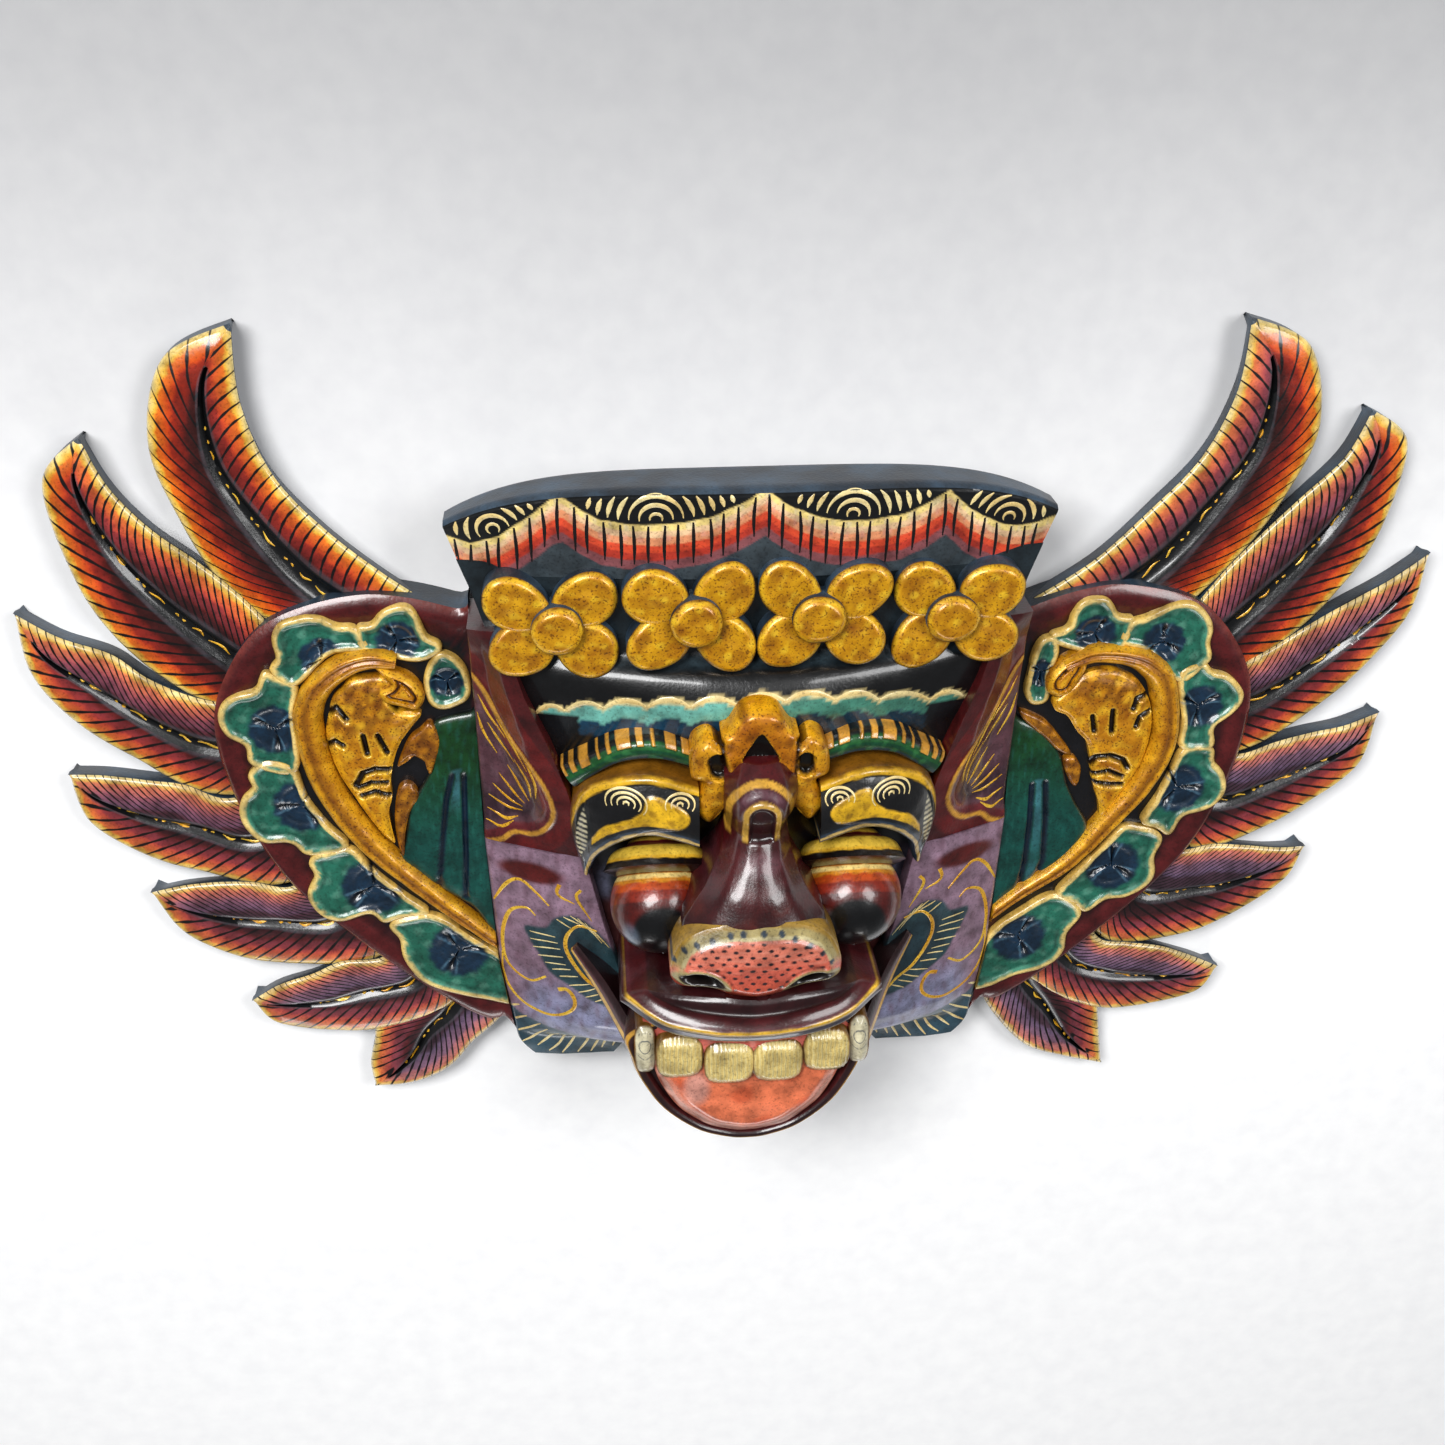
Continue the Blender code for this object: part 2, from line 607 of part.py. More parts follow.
def flowers():
    parts = []
    for side in (-1, 1):
        for number, (x, y) in enumerate(zip(flower_x, flower_y)):
            sink = 5 * mm * number
            label = f"flower_{side}_{number}"
            centre = (side * x, y)
            parts.append(dome(label + "_eye", centre, flower_eye_radius, flower_ground - sink,
                              flower_eye_height - sink))
            for k, (out, up) in enumerate(((15.5, 9.5), (-11, 10.5), (14, -9), (-11, -10))):
                petal = (centre[0] + side * out * mm, y + up * mm)
                parts.append(dome(f"{label}_petal_{k}", petal, petal_radius, flower_ground - 6 * mm - sink,
                                  petal_height - sink - 0.4 * mm * k, squash=0.84, sides=8))
    return parts


def brows_and_eyes():
    parts = []
    for side in (-1, 1):
        upper = in_mm(((24, 1, 73), (43, 6, 71), (60, 2, 66), (71, -7, 60), (75, -25, 54),
                       (71, -48, 50)), side)
        lower = in_mm(((24, -25, 76), (42, -20, 74), (54, -24, 70), (61, -31, 64), (65, -38, 58),
                       (68, -49, 50)), side)
        parts.append(strip(f"brow_{side}", upper, lower, 30 * mm, bulge=3 * mm))
        upper = in_mm(((26, 14, 63), (40, 19, 63), (55, 17, 61), (68, 8, 57), (78, 1, 52)), side)
        lower = in_mm(((26, 5, 64), (40, 9, 64), (54, 7, 62), (64, 0, 58), (72, -8, 53)), side)
        parts.append(strip(f"brow_leaf_{side}", upper, lower, 30 * mm, bulge=2 * mm))
        centre = Vector((side * eye_x, eye_y, eye_centre_height))
        parts.append(ball(f"eye_{side}", centre, eye_radius))
        parts.append(eye_lid(f"lid_{side}", centre + Vector((0, lid_rise, 0))))
    return parts


def eye_lid(name, centre):
    """Upper part of a larger ball, cut off by a slanted plane over the eye."""
    bm = bmesh.new()
    bmesh.ops.create_uvsphere(bm, u_segments=14, v_segments=9, radius=lid_radius)
    normal = Vector((0.0, 0.8, -0.6))
    geometry = bm.verts[:] + bm.edges[:] + bm.faces[:]
    cut = bmesh.ops.bisect_plane(bm, geom=geometry, plane_co=normal * (0.36 * lid_radius), plane_no=-normal,
                                 clear_outer=True)
    rim = [e for e in cut["geom_cut"] if isinstance(e, bmesh.types.BMEdge)]
    bmesh.ops.holes_fill(bm, edges=rim)
    bmesh.ops.translate(bm, verts=bm.verts, vec=centre)
    return finish_mesh(name, bm)


def symmetric(half, lean=0.0):
    """Closed outline from its right half, listed from the top middle to the bottom middle, in mm."""
    points = list(half) + [(-x, y) for x, y in reversed(half) if x]
    return [(x * mm + lean, y * mm) for x, y in points]


def middle_of_face():
    parts = []
    jewel = symmetric(((0, 35), (7, 33), (12, 27), (14, 21), (20, 25), (26, 18), (27, 6), (22, 2), (25, -6),
                       (18, -12), (0, -16)))
    parts.append(tower("jewel", jewel, ((45 * mm, 1.0, 0.0), (72 * mm, 1.0, 0.0), (75 * mm, 0.9, 0.0))))
    rows = []
    for y, half, top in ((14, 12, 80), (8, 14, 88), (2, 14.5, 93), (-6, 14, 92), (-14, 12, 88),
                         (-24, 14, 93), (-36, 20, 100), (-48, 28, 104), (-58, 30, 104)):
        profile = both_ways((top, top - 1, top - 4, top - 14))
        lean = snout_lean * min(1.0, max(0.0, -y / 40))
        rows.append((y * mm, -half * mm + lean, half * mm + lean, profile))
    parts.append(relief("bridge", rows, 45 * mm))
    pad = symmetric(((0, -44.5), (18, -46), (29, -52), (pad_half_width / mm, -64), (31, -73), (18, -75),
                     (9, -79), (0, -80.5)), snout_lean)
    parts.append(tower("nose_pad", pad, ((70 * mm, 0.96, 0.0), (pad_height - 5 * mm, 1.0, 0.0),
                                         (pad_height - 1.5 * mm, 0.9, 0.0), (pad_height, 0.7, 0.0))))
    lip_top = both_sides((0, -79, 105), (16, -76, 103), (36, -73, 96), (53, -75, 85))
    lip_foot = both_sides((0, -104, 103), (20, -96, 102), (38, -91, 96), (54, -86, 83))
    parts.append(strip("lip", leaning(lip_top), leaning(lip_foot), 40 * mm, bulge=2 * mm))
    gum_top = both_sides((0, -100, 94), (24, -93, 92), (46, -88, 84))
    gum_foot = both_sides((0, -119, 92), (24, -116, 90), (44, -110, 84))
    parts.append(strip("gum", leaning(gum_top), leaning(gum_foot), 40 * mm, bulge=1 * mm))
    return parts


def both_sides(*half):
    """Line from the left end to the right end, given from its middle out."""
    return [(-p[0],) + p[1:] for p in reversed(half[1:])] + list(half)


def leaning(points):
    return [(x * mm + snout_lean, y * mm, z * mm) for x, y, z in points]


def mouth():
    parts = []
    for side in (-1, 1):
        for number, (x, y, half, tall, drop) in enumerate((
                (10.2, -117, 9.6, 10.5, 0.0), (29.0, -113, 8.6, 10.5, 1.5), (43.5, -112.5, 4.4, 12.0, 6.0))):
            edge = []
            for k in range(12):
                angle = 2 * math.pi * (k + 0.5) / 12
                bend = (abs(math.cos(angle)) ** 4 + abs(math.sin(angle)) ** 4) ** -0.25
                edge.append((snout_lean + (side * x + half * bend * math.cos(angle)) * mm
                             - 0.5 * tooth_gap * side, (y + tall * bend * math.sin(angle)) * mm))
            top = tooth_height - drop * mm
            parts.append(tower(f"tooth_{side}_{number}", edge, (
                (60 * mm, 1.0, 0.0), (top - 2 * mm, 1.0, 0.0), (top, 0.72, 0.0))))
        outer = leaning([(side * x, y, z) for x, y, z in ((76, -84, 46), (64, -102, 64), (51, -121, 84))])
        inner = leaning([(side * x, y, z) for x, y, z in ((71, -76, 50), (58, -91, 68), (46, -108, 86))])
        parts.append(strip(f"mouth_corner_{side}", outer, inner, 20 * mm, bulge=1 * mm, columns=4))
    jaw = symmetric(((0, -96), (30, -98), (50, -106), (49, -118), (45, -130), (36, -145), (22, -157),
                     (9, -162), (0, -163)), snout_lean - 1.5 * mm)
    jaw_half_width = 50 * mm
    inside = 1 - jaw_wall / jaw_half_width
    parts.append(tower("jaw", jaw, (
        (14 * mm, 0.72, 14 * mm), (50 * mm, 0.86, 10 * mm), (jaw_height - 12 * mm, 0.98, 1 * mm),
        (jaw_height, 1.0, 0.0), (jaw_height, inside + 0.04, 0.0), (jaw_height - 4 * mm, inside + 0.02, 0.0))))
    flat = tongue_half_width / jaw_half_width
    drop = -4 * mm
    parts.append(tower("tongue", jaw, (
        (50 * mm, flat, drop), (tongue_height - 5 * mm, 1.06 * flat, drop),
        (tongue_height - 1 * mm, 0.9 * flat, drop), (tongue_height, 0.6 * flat, drop))))
    return parts


def mask():
    parts = head_blocks() + [crown()] + flowers() + brows_and_eyes() + middle_of_face() + mouth()
    cutters = [hollow(), crown_slope()]
    for side in (-1, 1):
        near = ear_side - wing_tongue_reach - gap
        far = ear_side + 20 * mm
        ends = (cheek_foot - 20 * mm, ear_top + 2 * mm)
        box = [[(side * x, y, wing_tongue + gap) for x in (near, far)] for y in ends]
        floor = [[(x, y, -10 * mm) for x, y, z in row] for row in box]
        cutters.append(grid_solid(f"rebate_{side}", box, floor))
        nostril = (side * 21.5 * mm + snout_lean, -68.5 * mm, pad_height - 0.5 * mm)
        cutters.append(ball(f"nostril_{side}", nostril, 5.5 * mm, 10, 6))
    return combine("mask", parts, cutters, one_by_one=False)


def hollow():
    """Scooped back: an oval dome, as deep as the wall in front of it lets it be."""
    levels = []
    half_width = crown_foot_half_width - 2 * mask_wall - 20 * mm
    for k in range(5):
        angle = 0.5 * math.pi * k / 5
        levels.append((hollow_depth * math.sin(angle), math.cos(angle) ** 0.6, 0.0))
    levels.insert(0, (-5 * mm, 1.0, 0.0))
    half_length = 92 * mm
    middle_y = -20 * mm
    turns = [2 * math.pi * k / 24 for k in range(24)]
    outline = [(half_width * math.cos(a), middle_y + half_length * math.sin(a)) for a in turns]
    return tower("hollow", outline, levels)


def crown_slope():
    """Wedge behind the crown's top lip, which slopes down to the wall side."""
    wide = crown_half_width + 30 * mm
    run = crown_back_slope / crown_lip
    deep = 4 * mm
    tops = [[(x, y, crown_lip) for x in (-wide, wide)] for y in (crown_top, crown_top + 20 * mm)]
    bottoms = [[(x, y, -deep) for x in (-wide, wide)]
               for y in (crown_top - crown_back_slope - run * deep, crown_top + 20 * mm)]
    return grid_solid("crown_slope", tops, bottoms)


def centre_on_origin(items):
    """Move everything so that the middle of the outline box is on the origin."""
    corners = [v.co for item in items for v in item.data.vertices]
    low = Vector((min(c[k] for c in corners) for k in range(3)))
    high = Vector((max(c[k] for c in corners) for k in range(3)))
    shift = Vector((0.5 * (low.x + high.x), 0.5 * (low.y + high.y), low.z))
    for item in items:
        item.data.transform(Matrix.Translation(-shift))


clear_scene()
pieces = [mask(), wing("wing_left", -1), wing("wing_right", 1)]
centre_on_origin(pieces)
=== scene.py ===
import math

import bpy
import numpy as np
from mathutils import Matrix, Vector
from mathutils.bvhtree import BVHTree


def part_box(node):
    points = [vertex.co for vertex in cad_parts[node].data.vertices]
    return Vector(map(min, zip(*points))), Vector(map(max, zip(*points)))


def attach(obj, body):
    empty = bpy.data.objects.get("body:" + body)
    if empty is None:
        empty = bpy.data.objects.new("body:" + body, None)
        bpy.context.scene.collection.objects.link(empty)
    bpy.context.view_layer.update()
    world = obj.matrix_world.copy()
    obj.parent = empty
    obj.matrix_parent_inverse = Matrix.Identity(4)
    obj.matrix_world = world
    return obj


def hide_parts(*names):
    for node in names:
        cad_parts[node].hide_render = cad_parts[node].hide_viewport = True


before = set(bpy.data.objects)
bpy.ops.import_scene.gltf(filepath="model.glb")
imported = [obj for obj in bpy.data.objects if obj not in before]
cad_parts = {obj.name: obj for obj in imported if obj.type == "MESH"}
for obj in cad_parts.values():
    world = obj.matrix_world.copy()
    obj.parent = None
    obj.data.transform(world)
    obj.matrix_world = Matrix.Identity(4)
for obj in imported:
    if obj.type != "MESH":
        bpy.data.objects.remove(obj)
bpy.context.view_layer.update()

mm = 0.001
crownTop = 117.0                                # mm, the crown's top edge above the middle of the face
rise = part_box("mask")[1][1] / mm - crownTop     # mm, how far the face's middle lies above the origin
aside = 0.5 * (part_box("mask")[0][0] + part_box("mask")[1][0]) / mm     # mm, the same to the viewer's right
print("frame loaded, face middle at", round(aside, 2), round(rise, 2), "mm")


# Colours, nodes and materials

def paint(code):
    channels = [int(code[i:i + 2], 16) / 255 for i in (1, 3, 5)]
    linear = [c / 12.92 if c <= 0.04045 else ((c + 0.055) / 1.055) ** 2.4 for c in channels]
    return (*linear, 1.0)


def add(tree, kind, settings=None, links=None, stops=None):
    made = tree.nodes.new("ShaderNode" + kind)
    for key, value in (settings or {}).items():
        if isinstance(key, str) and key in made.bl_rna.properties:
            setattr(made, key, value)
        else:
            made.inputs[key].default_value = value
    for key, source in (links or {}).items():
        tree.links.new(source.outputs[0] if isinstance(source, bpy.types.Node) else source, made.inputs[key])
    for number, (place, code) in enumerate(stops or ()):
        elements = made.color_ramp.elements
        element = elements[number] if number < 2 else elements.new(place)
        element.position = place
        element.color = paint(code)
    return made


def lacquered(name, look, colourOf):
    # Hand-brushed lacquer over carved wood: uneven colour, fine brush marks, a clear gloss on top
    material = bpy.data.materials.new(name)
    material.use_nodes = True
    tree = material.node_tree
    shader = tree.nodes["Principled BSDF"]
    place = add(tree, "TexCoord").outputs["Object"]
    colour = colourOf(tree, place)
    blot = add(tree, "TexNoise", {"Scale": 1 / (look["blotMm"] * mm), "Detail": 5.0, "Roughness": 0.62},
               {"Vector": place})
    shade = add(tree, "ValToRGB", {}, {"Fac": blot}, [(0.30, look["low"]), (0.68, look["high"])])
    colour = add(tree, "MixRGB", {"blend_type": "MULTIPLY", "Fac": look["mottle"]},
                 {"Color1": colour, "Color2": shade})
    speck = add(tree, "TexNoise", {"Scale": 1 / (look["speckMm"] * mm), "Detail": 2.0}, {"Vector": place})
    pits = add(tree, "ValToRGB", {}, {"Fac": speck}, [(0.34, look["pit"]), (0.44, "#FFFFFF")])
    colour = add(tree, "MixRGB", {"blend_type": "MULTIPLY", "Fac": look["pitting"]},
                 {"Color1": colour, "Color2": pits})
    # Darker in crevices and hollows, where the surface's Pointiness is low
    form = add(tree, "NewGeometry").outputs["Pointiness"]
    hollows = add(tree, "ValToRGB", {}, {"Fac": form}, [(0.44, look["crevice"]), (0.50, "#FFFFFF")])
    colour = add(tree, "MixRGB", {"blend_type": "MULTIPLY", "Fac": look["creviceDarkening"]},
                 {"Color1": colour, "Color2": hollows})
    tree.links.new(colour.outputs[0], shader.inputs["Base Color"])
    marks = add(tree, "Mapping", {"Scale": (1.0, 0.22, 1.0)}, {"Vector": place})
    brush = add(tree, "TexNoise", {"Scale": 1 / (look["brushMm"] * mm), "Detail": 3.0}, {"Vector": marks})
    sheen = add(tree, "MapRange", {"To Min": look["gloss"][0], "To Max": look["gloss"][1]}, {"Value": blot})
    tree.links.new(sheen.outputs[0], shader.inputs["Roughness"])
    bump = add(tree, "Bump", {"Strength": look["relief"], "Distance": 0.25 * mm}, {"Height": brush})
    bump = add(tree, "Bump", {"Strength": 0.7 * look["relief"], "Distance": 0.3 * mm},
               {"Height": speck, "Normal": bump})
    tree.links.new(bump.outputs[0], shader.inputs["Normal"])
    shader.inputs["Metallic"].default_value = look["metal"]
    shader.inputs["IOR"].default_value = 1.5
    shader.inputs["Coat Weight"].default_value = look["coat"]
    shader.inputs["Coat Roughness"].default_value = 0.12
    shader.inputs["Coat IOR"].default_value = 1.5
    return material


lacquer = {
    "blotMm": 9.0, "speckMm": 1.1, "brushMm": 1.3,   # mm, size of cloudy patches, specks and brush marks
    "low": "#7A7472", "high": "#FFFFFF", "mottle": 0.8,
    "pit": "#4A4240", "pitting": 0.35, "crevice": "#1C1414", "creviceDarkening": 0.75,
    "gloss": (0.22, 0.42), "relief": 0.35, "metal": 0.0, "coat": 0.55,
}
goldLeafPaint = dict(lacquer, blotMm=7.0, speckMm=0.9, low="#B08424", high="#FFF4A0", mottle=0.85,
                     pit="#6A4408", pitting=0.75, crevice="#3A2004", gloss=(0.24, 0.46), metal=0.2, coat=0.35)


def oneColour(code, other=None):
    def make(tree, place):
        drift = add(tree, "TexNoise", {"Scale": 1 / (22 * mm), "Detail": 2.0}, {"Vector": place})
        return add(tree, "ValToRGB", {}, {"Fac": drift}, [(0.38, code), (0.62, other or code)])
    return make


def byPaint(tree, place):
    # Colours brushed on in zones, kept on the mesh as a painted layer
    return add(tree, "VertexColor", {"layer_name": "paint"})


def featherPaint(tree, place):
    edge = add(tree, "Attribute", {"attribute_name": "edgeGap"}).outputs["Fac"]
    duskAndSheen = add(tree, "Attribute", {"attribute_name": "duskAndSheen"}).outputs["Fac"]
    waver = add(tree, "TexNoise", {"Scale": 1 / (5 * mm), "Detail": 3.0}, {"Vector": place})
    shift = add(tree, "MapRange", {"To Min": -2.2, "To Max": 2.2}, {"Value": waver})
    ragged = add(tree, "Math", {"operation": "ADD"}, {0: edge, 1: shift})
    depth = add(tree, "Math", {"operation": "DIVIDE", 1: 24.0}, {0: ragged})
    warm = add(tree, "ValToRGB", {}, {"Fac": depth}, [
        (0.0, "#FBE494"), (0.11, "#F0BC3C"), (0.16, "#E87412"), (0.34, "#D04408"), (0.40, "#9C2408"),
        (0.58, "#701408"), (0.66, "#400A06"), (1.0, "#200404")])
    cool = add(tree, "ValToRGB", {}, {"Fac": depth}, [
        (0.0, "#F6E0A0"), (0.09, "#E8B45C"), (0.13, "#DC7C66"), (0.26, "#BC7478"), (0.32, "#8E667C"),
        (0.52, "#6E5874"), (0.60, "#48303E"), (1.0, "#302028")])
    # The cool dusky pink mix is partly the real paint and partly a painted sheen and shade
    base = add(tree, "MixRGB", {}, {"Fac": duskAndSheen, "Color1": warm, "Color2": cool})
    phase = add(tree, "Attribute", {"attribute_name": "barb"}).outputs["Fac"]
    swing = add(tree, "Math", {"operation": "PINGPONG", 1: 0.5}, {0: phase})
    thick = add(tree, "Attribute", {"attribute_name": "barbWidth"}).outputs["Fac"]
    inside = add(tree, "Math", {"operation": "SUBTRACT"}, {0: thick, 1: swing})
    line = add(tree, "MapRange", {"From Min": -0.02, "From Max": 0.03}, {"Value": inside})
    base = add(tree, "MixRGB", {"Color2": paint("#0E0505")}, {"Fac": line, "Color1": base})
    vein = add(tree, "Attribute", {"attribute_name": "vein"}).outputs["Fac"]
    around = add(tree, "ValToRGB", {}, {"Fac": vein}, [
        (0.0, "#FFFFFF"), (0.62, "#FFFFFF"), (0.68, "#000000"), (1.0, "#000000")])
    base = add(tree, "MixRGB", {"Color2": paint("#0A0D10")}, {"Fac": around, "Color1": base})
    # A grey-lilac band along both edges of the dark channel: a painted reflection of light on the groove's
    # sides
    grooveSheen = add(tree, "ValToRGB", {}, {"Fac": vein}, [
        (0.0, "#000000"), (0.60, "#000000"), (0.70, "#B0B0B0"), (0.84, "#B0B0B0"), (0.95, "#000000")])
    base = add(tree, "MixRGB", {"Color2": paint("#54565E")}, {"Fac": grooveSheen, "Color1": base})
    return base


materials = {
    "feather": lacquered("brushedLacquerFeathers", dict(lacquer, speckMm=1.0), featherPaint),
    "slate": lacquered("slateBlueLacquerEdges", dict(lacquer, relief=0.6, gloss=(0.42, 0.6), coat=0.15),
                       oneColour("#182633", "#33495C")),
    "gold": lacquered("goldBronzePaint", goldLeafPaint, oneColour("#D69A0C", "#EEB814")),
    "zones": lacquered("brushedLacquerZones", lacquer, byPaint),
    "goldZones": lacquered("goldBronzePaintZones", goldLeafPaint, byPaint),
    "bareBack": lacquered("blackStainedWoodBack", dict(lacquer, coat=0.1, gloss=(0.5, 0.7)),
                          oneColour("#141416", "#1E1C1C")),
    "creamStroke": lacquered("creamBrushStroke", dict(lacquer, mottle=0.5), oneColour("#F4E2A4", "#E6C880")),
    "goldStroke": lacquered("goldBrushStroke", dict(goldLeafPaint, mottle=0.6),
                            oneColour("#E6AE24", "#F6D050")),
    "blackStroke": lacquered("blackBrushStroke", dict(lacquer, mottle=0.3), oneColour("#0C0808", "#140C0C")),
}
print("materials ready")


# Lines and meshes; every length below is in mm from the middle of the face until a piece is made

def along(points, t):
    # Points at t from 0 to 1 on the curve through a few points that are evenly spread along it
    p = np.array(points, float)
    last = len(p) - 1
    t = np.asarray(t, float) * last
    k = np.minimum(t.astype(int), last - 1)
    u = (t - k)[:, None]
    a, b, c, d = (p[np.clip(k + i, 0, last)] for i in (-1, 0, 1, 2))
    return 0.5 * (2 * b + (c - a) * u + (2 * a - 5 * b + 4 * c - d) * u * u + (3 * b - 3 * c + d - a)
                  * u ** 3)


def through(points, count, closed=False):
    # Even steps along a smooth curve through the points
    p = np.array(points, float)
    if closed:
        p = np.vstack([p[-1], p, p[0], p[1]])
    else:
        p = np.vstack([2 * p[0] - p[1], p, 2 * p[-1] - p[-2]])
    t = np.linspace(0, 1, 24, endpoint=False)[:, None]
    parts = []
    for a, b, c, d in zip(p, p[1:], p[2:], p[3:]):
        parts.append(0.5 * (2 * b + (c - a) * t + (2 * a - 5 * b + 4 * c - d) * t * t
                            + (3 * b - 3 * c + d - a) * t ** 3))
    parts.append(p[-2][None])
    fine = np.vstack(parts)
    steps = np.r_[0, np.cumsum(np.linalg.norm(np.diff(fine, axis=0), axis=1))]
    at = np.linspace(0, steps[-1], count, endpoint=not closed)
    return np.stack([np.interp(at, steps, fine[:, k]) for k in range(p.shape[1])], axis=1)


def gapTo(points, line, closed=False):
    # Distance of each point to a line in the plane, and how far along the line the nearest place is
    flat = points.reshape(-1, points.shape[-1])[:, :2]
    a = line[:, :2]
    b = np.roll(a, -1, axis=0) if closed else a[1:]
    a = a if closed else a[:-1]
    run = b - a
    length = np.maximum(np.linalg.norm(run, axis=1), 1e-9)
    start = np.r_[0, np.cumsum(length)[:-1]]
    best = np.full(len(flat), 1e9)
    reach = np.zeros(len(flat))
    for k in range(len(a)):
        t = np.clip(((flat - a[k]) @ run[k]) / length[k] ** 2, 0, 1)
        d = np.linalg.norm(flat - (a[k] + t[:, None] * run[k]), axis=1)
        near = d < best
        best[near] = d[near]
        reach[near] = start[k] + t[near] * length[k]
    return best.reshape(points.shape[:-1]), reach.reshape(points.shape[:-1])


def ease(value, low, high):
    t = np.clip((value - low) / (high - low), 0, 1)
    return t * t * (3 - 2 * t)


def ripple(points, size, strength, seed=0.0):
    # Soft unevenness left by the knife
    x, y = points[..., 0] / size, points[..., 1] / size
    wave = np.sin(1.7 * x + 0.9 * y + seed) + np.sin(-1.1 * x + 2.1 * y + 1.3 * seed)
    return strength * (wave + np.sin(2.9 * x - 1.3 * y + 2.2 * seed) + np.sin(0.7 * x + 3.1 * y)) / 4


def meshPiece(name, node, points, faces, slots, faceSlots=None, layers=None, colour=None):
    mesh = bpy.data.meshes.new(name)
    place = np.array(points, float).reshape(-1, 3) * mm
    place += np.array([aside, rise, 0.0]) * mm
    mesh.from_pydata(place.tolist(), [], faces)
    for slot in slots:
        mesh.materials.append(materials[slot])
    if faceSlots is not None:
        mesh.polygons.foreach_set("material_index", np.asarray(faceSlots, dtype=np.int32))
    for label, values in (layers or {}).items():
        layer = mesh.attributes.new(label, "FLOAT", "POINT")
        layer.data.foreach_set("value", np.asarray(values, dtype=np.float32).ravel())
    if colour is not None:
        layer = mesh.color_attributes.new("paint", "FLOAT_COLOR", "POINT")
        layer.data.foreach_set("color", np.asarray(colour, dtype=np.float32).ravel())
    mesh.validate()
    mesh.shade_smooth()
    mesh.set_sharp_from_angle(angle=math.radians(50))
    piece = bpy.data.objects.new(name, mesh)
    bpy.context.scene.collection.objects.link(piece)
    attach(piece, "root")
    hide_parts(node)
    return piece


def gridFaces(rows, columns, loop=False):
    across = columns if loop else columns - 1
    i, j = np.meshgrid(np.arange(rows - 1), np.arange(across), indexing="ij")
    k = (j + 1) % columns
    quads = np.stack([i * columns + j, i * columns + k, (i + 1) * columns + k, (i + 1) * columns + j], -1)
    return quads.reshape(-1, 4)


def outward(points, quads):
    # Turns all faces the way that makes the body's volume positive
    p = np.asarray(points, float).reshape(-1, 3)
    q = p[quads]
    volume = np.einsum("ij,ij->i", q[:, 0], np.cross(q[:, 1], q[:, 2])).sum()
    volume += np.einsum("ij,ij->i", q[:, 0], np.cross(q[:, 2], q[:, 3])).sum()
    return quads if volume > 0 else quads[:, ::-1]


def capped(ring):
    # Faces of a row of rings, closed at both ends and facing out
    rows, count = ring.shape[:2]
    quads = gridFaces(rows, count, loop=True)
    turned = outward(ring, quads)
    ends = [list(range(count))[::-1], [(rows - 1) * count + k for k in range(count)]]
    if not np.array_equal(turned, quads):
        ends = [end[::-1] for end in ends]
    return turned.tolist() + ends


# Feathers: upper and lower edge of each from root to tip, as they lie on either wing; the points
# were fitted to readings of the real edges by a separate script and rounded to whole mm

featherCut = {
    "rows": 122, "columns": 34,
    "lip": 13.0, "under": 11.0, "veinDepth": 2.3, "edgeRound": 1.6,
    "backTip": 2.0,                                 # how far the back of a tip is set in
    "backEdge": (3.8, 2.5, 2.0, 2.0, 4.0, 4.0, 0.5),  # and the back of the upper edge, feather by feather
    "barb": (7.4, 6.8, 6.0, 5.4, 5.0, 4.8, 4.8),    # spacing of the black barbs
    "half": (5.6, 4.6, 3.8, 3.4, 3.0, 3.2, 3.2),    # half the width of the dark channel at its root
    "veinEnd": (0.84, 0.84, 0.86, 0.88, 0.86, 0.86, 0.84),
    "capFrom": (0.966, 0.960, 0.975, 0.978, 0.978, 0.980, 0.985),  # from here on the tip is slate blue
    "duskAndSheen": (0.0, 0.1, 0.4, 0.6, 0.7, 0.8, 0.9),    # how far the orange goes over to a dusky pink, partly real paint and partly painted sheen
}
